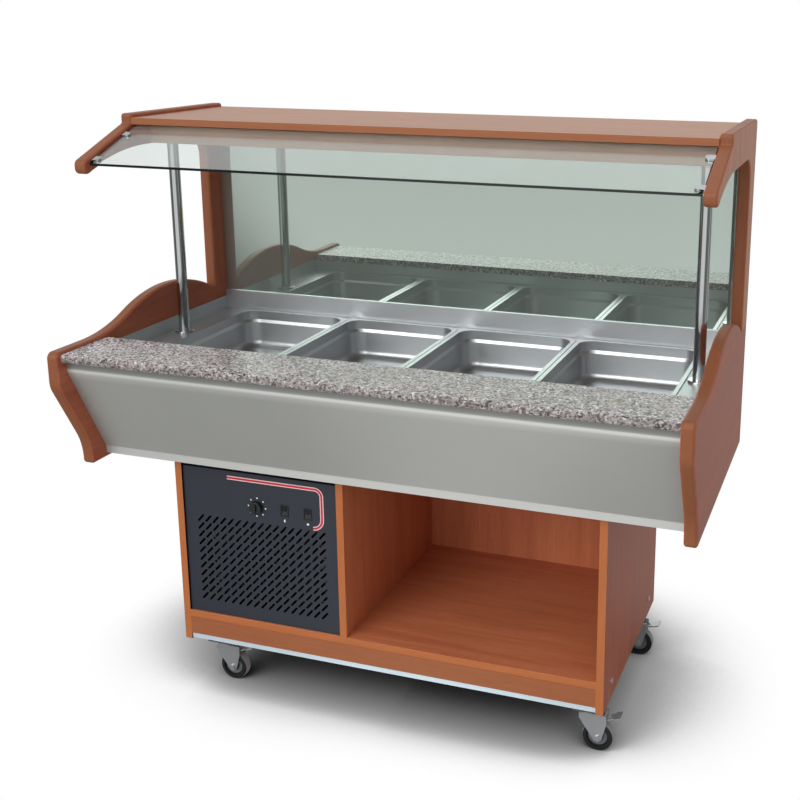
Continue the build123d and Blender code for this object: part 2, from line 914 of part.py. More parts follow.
lip_reach = casing_front_reach + fascia_sheet
fascia_reach = shelf_front_reach - fascia_setback
fascia_fold = [
    (from_rear(fascia_reach - fascia_top_return), shelf_bottom),
    (from_rear(fascia_reach), shelf_bottom),
    (from_rear(fascia_reach), shelf_bottom - fascia_brow),
    (from_rear(lip_reach), cabinet_top + fascia_lip_top),
    (from_rear(lip_reach), cabinet_top - fascia_lip_drop),
]

fascia_outline = [(point.X, point.Y) for point in folded_sheet(fascia_fold, fascia_sheet)]
# The fold under the granite bends one way and the fold at the lip the other way.
fascia_turn = {2: True, 3: False}

with BuildPart() as front_fascia:
    with BuildSketch(Plane.YZ.offset(-half_inner)) as profile:
        with BuildLine():
            Polyline(*fascia_outline, close=True)
        make_face()
        for fold, fold_round in ((2, fascia_fold_round), (3, fascia_lip_round)):
            turned = fascia_turn[fold]
            for point, corner in (
                (fascia_outline[fold], fold_round if turned else fold_round - fascia_sheet),
                (fascia_outline[-1 - fold], fold_round - fascia_sheet if turned else fold_round),
            ):
                fillet(profile.vertices().sort_by_distance((*point, 0))[0], corner)
    extrude(amount=2 * half_inner)
keep(front_fascia.part, "front_fascia")

# Cabinet

bearer_x = half_bay - bearer_width
plinth_rear = back_face_reach + board
plinth_front = cabinet_reach - board
screw_z = rail_top + screw_rise

for side, sign in sides:
    with BuildPart() as cabinet_side:
        block(
            (sign * half_bay, sign * half_cabinet),
            (from_rear(cabinet_reach), from_rear(cabinet_rear_inset)),
            (side_bottom, cabinet_top),
        )
        with BuildSketch(Plane.YZ.offset(sign * half_bay)):
            with Locations(*[(from_rear(reach), screw_z) for reach in screw_reaches]):
                Circle(screw_shank / 2 + screw_hole_clearance)
        extrude(amount=sign * board, mode=Mode.SUBTRACT)
    keep(cabinet_side.part, f"cabinet_side_{side}")

with BuildPart() as cabinet_divider:
    block(
        (-divider_shift - board / 2, -divider_shift + board / 2),
        (from_rear(cabinet_reach), from_rear(back_face_reach)),
        (floor_top, cabinet_top),
    )
keep(cabinet_divider.part, "cabinet_divider")

vent_x = (-half_bay - divider_shift - board / 2) / 2
vent_z = floor_top + vent_rise
inlet_z = floor_top + inlet_rise
back_rear = back_face_reach - back_thickness

with BuildPart() as cabinet_back:
    block(
        (-half_bay, half_bay),
        (from_rear(back_face_reach), from_rear(back_rear)),
        (rail_top, cabinet_top),
    )
    with BuildSketch(facing_front(0, back_face_reach, 0)):
        with Locations((vent_x, vent_z)):
            with GridLocations(0, vent_slot_pitch, 1, vent_slot_count):
                SlotOverall(vent_slot_length, vent_slot_height)
        with Locations((inlet_x, inlet_z)):
            Rectangle(inlet_width, inlet_height)
    extrude(amount=-back_thickness, mode=Mode.SUBTRACT)
keep(cabinet_back.part, "cabinet_back")

with BuildPart() as cabinet_floor:
    block(
        (-half_bay, half_bay),
        (from_rear(cabinet_reach), from_rear(back_face_reach)),
        (floor_bottom, floor_top),
    )
    with BuildSketch(Plane.XY.offset(floor_bottom)):
        with Locations(drain_place):
            Circle(drain_tail_diameter / 2 + pipe_hole_clearance)
    extrude(amount=board, mode=Mode.SUBTRACT)
    fillet(cabinet_floor.edges().filter_by(Axis.X).group_by(Axis.Y)[0], floor_edge_round)
keep(cabinet_floor.part, "cabinet_floor")

plinth_parts = []
for near, far in ((back_face_reach, plinth_rear), (plinth_front, cabinet_reach)):
    with BuildPart() as plinth:
        block((-half_bay, half_bay), (from_rear(far), from_rear(near)), (rail_top, floor_bottom))
    plinth_parts.append(plinth.part)
for side, sign in sides:
    with BuildPart() as bearer:
        block(
            (sign * bearer_x, sign * half_bay),
            (from_rear(plinth_front), from_rear(plinth_rear)),
            (rail_top, floor_bottom),
        )
    plinth_parts.append(bearer.part)
keep(Compound(children=plinth_parts), "plinth_rails")

trim_fold = [
    (from_rear(cabinet_reach - trim_recess - trim_return), rail_top),
    (from_rear(cabinet_reach - trim_recess), rail_top),
    (from_rear(cabinet_reach - trim_recess), rail_top - trim_height),
]

with BuildPart() as base_trim:
    with BuildSketch(Plane.YZ.offset(-half_bay)):
        with BuildLine():
            Polyline(*folded_sheet(trim_fold, trim_sheet), close=True)
        make_face()
    extrude(amount=2 * half_bay)
keep(base_trim.part, "base_trim")

cap_parts = []
for side, sign in sides:
    for reach in screw_reaches:
        cap_plane = Plane(
            origin=(sign * half_cabinet, from_rear(reach), screw_z),
            x_dir=(0, 1, 0),
            z_dir=(sign, 0, 0),
        )
        with BuildPart() as screw_cap:
            with BuildSketch(cap_plane):
                Circle(screw_cap_diameter / 2)
            extrude(amount=screw_cap_height)
            fillet(
                screw_cap.edges().sort_by(Axis((0, 0, 0), (sign, 0, 0)))[-1],
                screw_cap_height / 2,
            )
            with BuildSketch(cap_plane):
                Circle(screw_shank / 2)
            extrude(amount=-board)
        cap_parts.append(screw_cap.part)
keep(Compound(children=cap_parts), "side_screw_caps")

# Rails under the bearers

castor_x = half_cabinet - castor_side_inset
rail_parts = []
for side, sign in sides:
    with BuildPart() as castor_rail:
        with BuildSketch(facing_front(sign * castor_x, rail_rear_reach, castor_height)):
            with Locations((0, rail_height / 2)):
                Rectangle(rail_width, rail_height)
                Rectangle(
                    rail_width - 2 * rail_wall,
                    rail_height - 2 * rail_wall,
                    mode=Mode.SUBTRACT,
                )
        extrude(amount=rail_front_reach - rail_rear_reach)
    rail_parts.append(castor_rail.part)
keep(Compound(children=rail_parts), "castor_rails")

# Castors

axle_z = wheel_diameter / 2
plate_bottom = castor_height - castor_plate_thickness
race_bottom = plate_bottom - race_height
crown_bottom = crown_height - crown_thickness
leg_inside = wheel_width / 2 + fork_wheel_gap
leg_outside = leg_inside + fork_sheet
pedal_half = leg_inside - pedal_gap
castor_places = {
    "front_left": (-castor_x, from_rear(castor_front_reach)),
    "front_right": (castor_x, from_rear(castor_front_reach)),
    "rear_left": (-castor_x, from_rear(castor_rear_reach)),
    "rear_right": (castor_x, from_rear(castor_rear_reach)),
}

plate_parts = []
for swivel_x, swivel_y in castor_places.values():
    with BuildPart() as castor_top:
        with BuildSketch(Plane((swivel_x, swivel_y, plate_bottom))):
            RectangleRounded(castor_plate, castor_plate, castor_screw)
            with GridLocations(castor_screw_pitch, castor_screw_pitch, 2, 2):
                Circle(castor_screw / 2, mode=Mode.SUBTRACT)
        extrude(amount=castor_plate_thickness)
        with BuildSketch(Plane((swivel_x, swivel_y, race_bottom))):
            Circle(race_diameter / 2)
        extrude(amount=race_height)
        with BuildSketch(Plane((swivel_x, swivel_y, crown_bottom - race_gap))):
            Circle(kingpin_diameter / 2)
        extrude(amount=race_bottom - crown_bottom + race_gap)
        with BuildSketch(Plane((swivel_x, swivel_y, crown_bottom - race_gap))):
            RegularPolygon(kingpin_nut_diameter / 2, 6)
        extrude(amount=-kingpin_nut_height)
    plate_parts.append(castor_top.part)
keep(Compound(children=plate_parts), "castor_plates")

for corner, (swivel_x, swivel_y) in castor_places.items():
    axle_x = swivel_x + castor_trail
    pedal_x = swivel_x + pedal_reach
    middle = Plane(origin=(swivel_x, swivel_y, 0), x_dir=(1, 0, 0), z_dir=(0, -1, 0))

    with BuildPart() as castor_fork:
        with BuildSketch(middle):
            Polygon(
                (-fork_leg_back, crown_height),
                (-fork_leg_back, crown_bottom - fork_boss),
                (castor_trail - fork_boss, axle_z - fork_boss / 3),
                (castor_trail + fork_boss, axle_z - fork_boss / 3),
                (fork_leg_front, pedal_height - pedal_barrel),
                (fork_leg_front, crown_height),
                align=None,
            )
            with Locations((castor_trail, axle_z)):
                Circle(fork_boss)
                Circle(axle_diameter / 2 + axle_clearance, mode=Mode.SUBTRACT)
            with Locations((pedal_reach, pedal_height)):
                Circle(pedal_pin / 2 + pedal_pin_clearance, mode=Mode.SUBTRACT)
        extrude(amount=leg_outside, both=True)
        block(
            (swivel_x - fork_leg_back, swivel_x + fork_leg_front),
            (swivel_y - leg_inside, swivel_y + leg_inside),
            (0, crown_bottom),
            mode=Mode.SUBTRACT,
        )
        block(
            (swivel_x - fork_leg_back + crown_length, swivel_x + fork_leg_front),
            (swivel_y - leg_inside, swivel_y + leg_inside),
            (crown_bottom, crown_height),
            mode=Mode.SUBTRACT,
        )
        with BuildSketch(Plane((swivel_x, swivel_y, crown_height))):
            Circle(race_diameter / 2)
        extrude(amount=race_bottom - race_gap - crown_height)
        with BuildSketch(Plane((swivel_x, swivel_y, crown_bottom))):
            Circle(kingpin_diameter / 2 + kingpin_clearance)
        extrude(amount=race_bottom - crown_bottom, mode=Mode.SUBTRACT)

    with BuildPart() as axle_bolt:
        with BuildSketch(middle):
            with Locations((castor_trail, axle_z)):
                Circle(axle_diameter / 2)
        extrude(amount=leg_outside + axle_head_height, both=True)
        for face in (-1, 1):
            with BuildSketch(middle.offset(face * leg_outside)):
                with Locations((castor_trail, axle_z)):
                    RegularPolygon(axle_head_diameter / 2, 6)
            extrude(amount=face * axle_head_height)
    keep(Compound(children=[castor_fork.part, axle_bolt.part]), f"castor_fork_{corner}")

    with BuildPart() as castor_wheel:
        with BuildSketch(middle):
            with Locations((castor_trail, axle_z)):
                Circle(wheel_diameter / 2)
        extrude(amount=wheel_width / 2, both=True)
        treads = castor_wheel.edges().filter_by(GeomType.CIRCLE)
        fillet(treads, wheel_edge_round)
        for face in (-1, 1):
            with BuildSketch(middle.offset(face * wheel_width / 2)):
                with Locations((castor_trail, axle_z)):
                    Circle(wheel_recess_outer)
                    Circle(wheel_recess_inner, mode=Mode.SUBTRACT)
            extrude(amount=-face * wheel_recess_depth, mode=Mode.SUBTRACT)
        with BuildSketch(middle):
            with Locations((castor_trail, axle_z)):
                Circle(axle_diameter / 2 + axle_clearance)
        extrude(amount=wheel_width / 2, both=True, mode=Mode.SUBTRACT)
    keep(castor_wheel.part, f"castor_wheel_{corner}")

    # The pedal's arm rises from its barrel between the fork's legs to a wider tread.
    arm_angle = degrees(atan2(pedal_arm_rise, pedal_arm_length))
    arm_plane = Plane(
        origin=(pedal_x, swivel_y, pedal_height),
        x_dir=(cos(radians(arm_angle)), 0, sin(radians(arm_angle))),
        z_dir=(-sin(radians(arm_angle)), 0, cos(radians(arm_angle))),
    )
    with BuildPart() as brake_pedal:
        with BuildSketch(middle):
            with Locations((pedal_reach, pedal_height)):
                Circle(pedal_barrel / 2)
        extrude(amount=pedal_half, both=True)
        with BuildSketch(middle):
            with Locations((pedal_reach, pedal_height)):
                Circle(pedal_pin / 2)
        extrude(amount=leg_outside, both=True)
        with BuildSketch(arm_plane.offset(-pedal_sheet / 2)):
            with Locations((pedal_arm_length / 2, 0)):
                Rectangle(pedal_arm_length, pedal_arm_width)
            with Locations((pedal_arm_length, 0)):
                RectangleRounded(pedal_tread_length, pedal_tread_width, pedal_sheet)
        extrude(amount=pedal_sheet)
    keep(brake_pedal.part, f"brake_pedal_{corner}")

# Front panel of the machine bay

bay_left = -half_bay
bay_right = -divider_shift - board / 2
control_z = floor_top + control_rise
panel_x = (bay_left + bay_panel_gap, bay_right - bay_panel_gap)

with BuildPart() as unit_front_panel:
    block(
        panel_x,
        (from_rear(bay_panel_reach), from_rear(bay_panel_reach - bay_panel_return)),
        (floor_top, floor_top + bay_panel_height),
    )
    block(
        (panel_x[0] + bay_panel_sheet, panel_x[1] - bay_panel_sheet),
        (
            from_rear(bay_panel_reach - bay_panel_sheet),
            from_rear(bay_panel_reach - bay_panel_return),
        ),
        (floor_top + bay_panel_sheet, floor_top + bay_panel_height - bay_panel_sheet),
        mode=Mode.SUBTRACT,
    )
    with BuildSketch(facing_front(0, bay_panel_reach, 0)):
        with Locations((slot_field_x, floor_top + slot_field_rise)):
            with GridLocations(slot_column_pitch, slot_row_pitch, slot_columns, slot_rows):
                SlotOverall(slot_length, slot_width, rotation=slot_angle)
        with Locations((knob_x, control_z)):
            Circle(spindle_hole / 2)
        with Locations(*[(switch_x, control_z) for switch_x in switch_xs]):
            Rectangle(
                switch_body_width + 2 * switch_hole_clearance,
                switch_body_height + 2 * switch_hole_clearance,
            )
    extrude(amount=-bay_panel_sheet, mode=Mode.SUBTRACT)
keep(unit_front_panel.part, "unit_front_panel")

# Thermostat

panel_back_reach = bay_panel_reach - bay_panel_sheet

with BuildPart() as thermostat_body:
    with BuildSketch(facing_front(knob_x, panel_back_reach, control_z)):
        RectangleRounded(thermostat_width, thermostat_height, knob_edge_round)
    extrude(amount=-thermostat_depth)
    with BuildSketch(facing_front(knob_x, panel_back_reach, control_z)):
        Circle(spindle_diameter / 2 + spindle_clearance)
    extrude(amount=-spindle_length, mode=Mode.SUBTRACT)
keep(thermostat_body.part, "thermostat_body")

knob_back = facing_front(knob_x, bay_panel_reach + knob_gap, control_z)

with BuildPart() as thermostat_knob:
    with BuildSketch(knob_back):
        Circle(knob_diameter / 2)
    extrude(amount=knob_height - knob_grip_height)
    fillet(thermostat_knob.edges().group_by(Axis.Y)[0], knob_edge_round)
    with BuildSketch(knob_back):
        SlotOverall(knob_grip_length, knob_grip_width, rotation=90)
    extrude(amount=knob_height)
    with BuildSketch(knob_back):
        Circle(spindle_diameter / 2)
    extrude(amount=-(spindle_length - spindle_clearance))
keep(thermostat_knob.part, "thermostat_knob")

# Rocker switches

pivot_reach = bay_panel_reach + switch_flange - rocker_pivot_depth
pocket_width = rocker_width + 2 * rocker_side_gap
pocket_height = rocker_height + 2 * rocker_end_gap
pocket_depth = rocker_pivot_depth + rocker_heel + rocker_heel_gap
pin_bore = rocker_pin / 2 + rocker_pin_clearance

frame_parts = []
for switch_x in switch_xs:
    with BuildPart() as switch_frame:
        with BuildSketch(facing_front(switch_x, bay_panel_reach, control_z)):
            RectangleRounded(switch_width, switch_height, switch_flange)
        extrude(amount=switch_flange)
        with BuildSketch(facing_front(switch_x, bay_panel_reach, control_z)):
            Rectangle(switch_body_width, switch_body_height)
        extrude(amount=-switch_body_depth)
        with BuildSketch(facing_front(switch_x, bay_panel_reach + switch_flange, control_z)):
            Rectangle(pocket_width, pocket_height)
        extrude(amount=-pocket_depth, mode=Mode.SUBTRACT)
        with BuildSketch(Plane.YZ.offset(switch_x)):
            with Locations((from_rear(pivot_reach), control_z)):
                Circle(pin_bore)
        extrude(
            amount=rocker_width / 2 + rocker_pin_length + rocker_pin_clearance,
            both=True,
            mode=Mode.SUBTRACT,
        )
    frame_parts.append(switch_frame.part)
keep(Compound(children=frame_parts), "switch_frames")

for side, switch_x in zip(("left", "right"), switch_xs):
    # The rocker stands tilted, so that its lower half is pressed in.
    tilt = radians(rocker_tilt)
    rocker_plane = Plane(
        origin=(switch_x, from_rear(pivot_reach), control_z),
        x_dir=(0, -cos(tilt), -sin(tilt)),
        z_dir=(-1, 0, 0),
    )
    with BuildPart() as rocker:
        with BuildSketch(rocker_plane):
            Polygon(
                (-rocker_heel, -rocker_height / 2),
                (rocker_face, -rocker_height / 2),
                (rocker_valley, 0),
                (rocker_face, rocker_height / 2),
                (-rocker_heel, rocker_height / 2),
                align=None,
            )
        extrude(amount=rocker_width / 2, both=True)
        with BuildSketch(rocker_plane):
            Circle(rocker_pin / 2)
        extrude(amount=rocker_width / 2 + rocker_pin_length, both=True)
    keep(rocker.part, f"{side}_switch_rocker")

# Machine tray and compressor

tray_top = floor_top + tray_sheet

with BuildPart() as unit_tray:
    block(
        (tray_left, tray_right),
        (from_rear(tray_front_reach), from_rear(tray_rear_reach)),
        (floor_top, floor_top + tray_edge),
    )
    block(
        (tray_left + tray_sheet, tray_right - tray_sheet),
        (from_rear(tray_front_reach), from_rear(tray_rear_reach)),
        (tray_top, floor_top + tray_edge),
        mode=Mode.SUBTRACT,
    )
keep(unit_tray.part, "unit_tray")

base_z = tray_top + compressor_foot_height
shell_z = base_z + compressor_base_sheet
shell_top = shell_z + compressor_height
compressor_y = from_rear(compressor_reach)
feet_x = compressor_base_length - compressor_foot_diameter
feet_y = compressor_base_width - compressor_foot_diameter
discharge_z = floor_top + condenser_first_row
stub_end_x = compressor_x + compressor_diameter / 2 + compressor_stub_length / 2

with BuildPart() as compressor:
    with BuildSketch(Plane((compressor_x, compressor_y, base_z))):
        RectangleRounded(compressor_base_length, compressor_base_width, compressor_foot_height)
    extrude(amount=compressor_base_sheet)
    with BuildSketch(Plane((compressor_x, compressor_y, tray_top))):
        with GridLocations(feet_x, feet_y, 2, 2):
            Circle(compressor_foot_diameter / 2)
    extrude(amount=compressor_foot_height)
    with BuildSketch(Plane((compressor_x, compressor_y, shell_z))):
        Circle(compressor_diameter / 2)
    extrude(amount=compressor_height)
    fillet(compressor.edges().group_by(Axis.Z)[-1], compressor_top_round)
    with BuildSketch(Plane((compressor_x, compressor_y, shell_top - compressor_stub))):
        Circle(compressor_stub / 2)
    extrude(amount=compressor_stub + compressor_stub_length)
    with BuildSketch(Plane.YZ.offset(compressor_x)):
        with Locations((compressor_y, discharge_z)):
            Circle(compressor_stub / 2)
    extrude(amount=stub_end_x - compressor_x)
keep(compressor.part, "compressor")

# Condenser with its fan

condenser_y = (
    from_rear(condenser_rear_reach + condenser_depth),
    from_rear(condenser_rear_reach),
)
condenser_top = tray_top + condenser_height
fin_bottom = tray_top + condenser_foot
row_reach = condenser_rear_reach + condenser_depth / 2
row_heights = [discharge_z + row * condenser_row_pitch for row in range(condenser_rows)]
liquid_z = row_heights[-1]
tube_radius = refrigerant_tube / 2
fin_count = int((condenser_right - condenser_left) / condenser_fin_pitch) - 1
fin_field = (fin_count - 1) * condenser_fin_pitch
first_fin = (condenser_left + condenser_right - fin_field) / 2

row_points = []
for row, height in enumerate(reversed(row_heights)):
    ends = (condenser_right, condenser_left) if row % 2 == 0 else (condenser_left, condenser_right)
    for end_x in ends:
        row_points.append((end_x, from_rear(row_reach), height))
bend_out = condenser_bend + refrigerant_tube
row_path = []
for number, (end_x, end_y, height) in enumerate(row_points):
    inner_end = number in (0, len(row_points) - 1)
    outward = 0 if inner_end else bend_out
    row_path.append((end_x + (outward if end_x == condenser_right else -outward), end_y, height))

with BuildPart() as condenser:
    for end_x in (condenser_left, condenser_right):
        inward = condenser_end_sheet if end_x == condenser_left else -condenser_end_sheet
        block((end_x, end_x + inward), condenser_y, (tray_top, condenser_top))
    for number in range(fin_count):
        fin_x = first_fin + number * condenser_fin_pitch
        block(
            (fin_x - condenser_fin / 2, fin_x + condenser_fin / 2),
            condenser_y,
            (fin_bottom, condenser_top),
        )
    with BuildLine() as row_route:
        FilletPolyline(*row_path, radius=condenser_bend)
    with BuildSketch(Plane(row_path[0], z_dir=(-1, 0, 0))):
        Circle(tube_radius)
    sweep(path=row_route.wires()[0])
keep(condenser.part, "condenser")

fan_x = (condenser_left + condenser_right) / 2
fan_z = (tray_top + condenser_top) / 2
shroud_bore = fan_diameter / 2 + fan_tip_gap
shroud_reach = condenser_rear_reach - shroud_sheet
bracket_reach = shroud_reach - shroud_ring_depth - fan_hub_gap - fan_bracket_sheet
shroud_width = condenser_right - condenser_left
corner_x = shroud_width / 2 - fan_bracket_arm
corner_z = condenser_height / 2 - fan_bracket_arm
arm_turn = degrees(atan2(corner_z, corner_x))
arm_length = 2 * sqrt(corner_x**2 + corner_z**2)

with BuildPart() as fan_shroud:
    with BuildSketch(facing_front(fan_x, shroud_reach, fan_z)):
        Rectangle(shroud_width, condenser_height)
        Circle(shroud_bore, mode=Mode.SUBTRACT)
    extrude(amount=shroud_sheet)
    with BuildSketch(facing_front(fan_x, shroud_reach, fan_z)):
        Circle(shroud_bore + shroud_ring_wall)
        Circle(shroud_bore, mode=Mode.SUBTRACT)
    extrude(amount=-shroud_ring_depth)
    with BuildSketch(facing_front(fan_x, shroud_reach, fan_z)):
        with GridLocations(2 * corner_x, 2 * corner_z, 2, 2):
            Circle(fan_bracket_rod / 2)
    extrude(amount=bracket_reach - shroud_reach)
    with BuildSketch(facing_front(fan_x, bracket_reach, fan_z)):
        Circle(fan_motor_diameter / 2)
        for turn in (arm_turn, -arm_turn):
            SlotOverall(arm_length + fan_bracket_arm, fan_bracket_arm, rotation=turn)
        Circle(fan_shaft, mode=Mode.SUBTRACT)
    extrude(amount=fan_bracket_sheet)
keep(fan_shroud.part, "fan_shroud")

hub_reach = bracket_reach + fan_bracket_sheet + fan_hub_gap
shaft_length = fan_bracket_sheet + fan_hub_gap + fan_hub_length / 2

with BuildPart() as fan_motor:
    with BuildSketch(facing_front(fan_x, bracket_reach, fan_z)):
        Circle(fan_motor_diameter / 2)
    extrude(amount=-fan_motor_length)
    fillet(fan_motor.edges().group_by(Axis.Y)[-1], fan_motor_round)
    with BuildSketch(facing_front(fan_x, bracket_reach, fan_z)):
        Circle(fan_shaft / 2)
    extrude(amount=shaft_length)
keep(fan_motor.part, "fan_motor")

with BuildPart() as fan_blade:
    with BuildSketch(facing_front(fan_x, hub_reach, fan_z)):
        Circle(fan_hub_diameter / 2)
    extrude(amount=fan_hub_length)
    for number in range(fan_blades):
        turn = radians(360 / fan_blades * number)
        pitch = radians(fan_blade_angle)
        outward = Vector(cos(turn), 0, sin(turn))
        across = Vector(-sin(turn) * cos(pitch), -sin(pitch), cos(turn) * cos(pitch))
        root = Vector(fan_x, from_rear(hub_reach + fan_hub_length / 2), fan_z)
        blade_plane = Plane(origin=root, x_dir=outward, z_dir=outward.cross(across))
        blade_root = fan_hub_diameter / 3
        blade_run = fan_diameter / 2 - fan_tip_gap - blade_root
        with BuildSketch(blade_plane.offset(-fan_blade_sheet / 2)):
            with Locations((blade_root + blade_run / 2, 0)):
                RectangleRounded(blade_run, fan_blade_chord, fan_blade_chord / 4)
        extrude(amount=fan_blade_sheet)
    with BuildSketch(facing_front(fan_x, hub_reach, fan_z)):
        Circle(fan_shaft / 2 + fan_shaft_clearance)
    extrude(amount=fan_hub_length / 2 + fan_hub_gap, mode=Mode.SUBTRACT)
keep(fan_blade.part, "fan_blade")

# Refrigerant pipes: suction, discharge and liquid

lane_x = (condenser_right + tray_right) / 2 + refrigerant_tube
suction_z = shell_top + 4 * compressor_stub_length
suction_points = [
    (coil_tails[1][0], from_rear(coil_tails[1][1]), coil_tail_z),
    (coil_tails[1][0], from_rear(coil_tails[1][1]), suction_z),
    (coil_tails[1][0], compressor_y, suction_z),
    (compressor_x, compressor_y, suction_z),
    (compressor_x, compressor_y, shell_top + compressor_stub_length),
]
discharge_points = [
    (stub_end_x, compressor_y, discharge_z),
    (lane_x, compressor_y, discharge_z),
    (lane_x, from_rear(row_reach), discharge_z),
    (condenser_right, from_rear(row_reach), discharge_z),
]
liquid_points = [
    (condenser_right, from_rear(row_reach), liquid_z),
    (lane_x, from_rear(row_reach), liquid_z),
    (lane_x, from_rear(coil_tails[0][1]), liquid_z),
    (coil_tails[0][0], from_rear(coil_tails[0][1]), liquid_z),
    (coil_tails[0][0], from_rear(coil_tails[0][1]), coil_tail_z),
]

pipe_parts = []
for points in (suction_points, discharge_points, liquid_points):
    start = Vector(*points[0])
    with BuildPart() as pipe:
        with BuildLine() as route:
            FilletPolyline(*points, radius=refrigerant_bend)
        with BuildSketch(Plane(start, z_dir=Vector(*points[1]) - start)):
            Circle(tube_radius)
        sweep(path=route.wires()[0])
    pipe_parts.append(pipe.part)
keep(Compound(children=pipe_parts), "refrigerant_pipes")

# Electric box and power inlet

with BuildPart() as electric_box:
    block(
        (electric_box_left, electric_box_right),
        (
            from_rear(electric_box_rear_reach + electric_box_length),
            from_rear(electric_box_rear_reach),
        ),
        (tray_top, tray_top + electric_box_height),
    )
    fillet(electric_box.edges().filter_by(Axis.Z), electric_box_round)
keep(electric_box.part, "electric_box")

# The inlet sits in the cabinet's back, and its recess opens to the rear.
inlet_plane = Plane(
    origin=(inlet_x, from_rear(back_rear), inlet_z),
    x_dir=(-1, 0, 0),
    z_dir=(0, 1, 0),
)
with BuildPart() as power_inlet:
    with BuildSketch(inlet_plane):
        RectangleRounded(inlet_flange_width, inlet_flange_height, inlet_flange)
    extrude(amount=inlet_flange)
    with BuildSketch(inlet_plane):
        Rectangle(inlet_width - 2 * bay_panel_gap, inlet_height - 2 * bay_panel_gap)
    extrude(amount=-inlet_depth)
    with BuildSketch(inlet_plane.offset(inlet_flange)):
        Rectangle(inlet_recess_width, inlet_recess_height)
    extrude(amount=-inlet_recess_depth, mode=Mode.SUBTRACT)
    with BuildSketch(inlet_plane.offset(inlet_flange - inlet_recess_depth)):
        with GridLocations(inlet_blade_pitch, 0, 3, 1):
            Rectangle(inlet_blade_width, inlet_blade_height)
    extrude(amount=inlet_blade_length)
keep(power_inlet.part, "power_inlet")
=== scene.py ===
import math

import bpy
from mathutils import Matrix, Vector


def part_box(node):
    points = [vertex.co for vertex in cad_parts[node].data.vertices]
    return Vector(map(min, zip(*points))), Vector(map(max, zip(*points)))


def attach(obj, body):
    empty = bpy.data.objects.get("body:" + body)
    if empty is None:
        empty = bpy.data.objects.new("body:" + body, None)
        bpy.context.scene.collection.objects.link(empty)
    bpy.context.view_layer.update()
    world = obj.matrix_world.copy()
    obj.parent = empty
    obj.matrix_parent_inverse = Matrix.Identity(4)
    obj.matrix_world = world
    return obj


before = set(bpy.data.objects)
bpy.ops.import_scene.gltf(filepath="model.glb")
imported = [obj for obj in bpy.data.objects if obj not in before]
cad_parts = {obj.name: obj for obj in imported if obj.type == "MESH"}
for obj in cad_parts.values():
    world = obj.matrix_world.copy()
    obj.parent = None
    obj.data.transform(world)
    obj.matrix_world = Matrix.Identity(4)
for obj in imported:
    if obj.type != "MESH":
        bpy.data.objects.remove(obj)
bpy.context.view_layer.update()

scene = bpy.context.scene
scene.view_settings.view_transform = "Standard"


# Helpers for colours and nodes

def display(red, green, blue):
    """A colour written as it shows on a screen, 0 to 255, in the linear values that shaders take."""
    values = []
    for part in (red / 255, green / 255, blue / 255):
        values.append(part / 12.92 if part <= 0.04045 else ((part + 0.055) / 1.055) ** 2.4)
    return (*values, 1.0)


def scaled(color, factor):
    """The colour with its three parts multiplied by a factor: darker below 1, lighter above it."""
    return (*(min(1.0, factor * part) for part in color[:3]), 1.0)


class Nodes:
    """One node tree, and short ways to add nodes to it."""

    def __init__(self, tree):
        self.tree = tree
        tree.nodes.clear()

    def node(self, kind, **settings):
        made = self.tree.nodes.new(kind)
        for name, value in settings.items():
            setattr(made, name, value)
        return made

    def join(self, start, end):
        self.tree.links.new(start, end)

    def give(self, socket, value):
        """Feeds a socket from another node's output, or sets it to a plain value."""
        if hasattr(value, "is_output"):
            self.join(value, socket)
        else:
            socket.default_value = value

    def ramp(self, value, stops, interpolation="LINEAR"):
        """A colour, or a grey level, looked up in a list of stops."""
        made = self.node("ShaderNodeValToRGB")
        made.color_ramp.interpolation = interpolation
        elements = made.color_ramp.elements
        while len(elements) < len(stops):
            elements.new(0.5)
        for element, (place, color) in zip(elements, stops):
            element.position = place
            element.color = color if isinstance(color, tuple) else (color, color, color, 1.0)
        self.join(value, made.inputs["Fac"])
        return made.outputs["Color"]

    def span(self, value, low, high, new_low=0.0, new_high=1.0):
        """Turns the range from low to high into that from new_low to new_high, without leaving it."""
        made = self.node("ShaderNodeMapRange")
        self.join(value, made.inputs["Value"])
        made.inputs["From Min"].default_value = low
        made.inputs["From Max"].default_value = high
        made.inputs["To Min"].default_value = new_low
        made.inputs["To Max"].default_value = new_high
        return made.outputs["Result"]

    def count(self, operation, first, second=0.0):
        made = self.node("ShaderNodeMath", operation=operation)
        self.give(made.inputs[0], first)
        self.give(made.inputs[1], second)
        return made.outputs[0]

    def mix(self, factor, first, second, blend="MIX"):
        made = self.node("ShaderNodeMix", data_type="RGBA", blend_type=blend)
        self.give(made.inputs[0], factor)
        self.give(made.inputs[6], first)
        self.give(made.inputs[7], second)
        return made.outputs[2]

    def choose(self, factor, first, second):
        """The first shader where the factor is 0, the second where it is 1."""
        made = self.node("ShaderNodeMixShader")
        self.join(factor, made.inputs["Fac"])
        self.join(first, made.inputs[1])
        self.join(second, made.inputs[2])
        return made.outputs[0]

    def axis(self, vector, index):
        made = self.node("ShaderNodeSeparateXYZ")
        self.join(vector, made.inputs[0])
        return made.outputs[index]

    def dot(self, vector, direction):
        made = self.node("ShaderNodeVectorMath", operation="DOT_PRODUCT")
        self.join(vector, made.inputs[0])
        made.inputs[1].default_value = direction
        return made.outputs["Value"]

    def ray_kinds(self):
        """Whether a ray sees this straight or through glass, and whether it sees it in a gloss."""
        path = self.node("ShaderNodeLightPath")
        straight = self.count("MAXIMUM", path.outputs["Is Camera Ray"], path.outputs["Is Transmission Ray"])
        return straight, path.outputs["Is Glossy Ray"]


# Camera, at the photograph's place

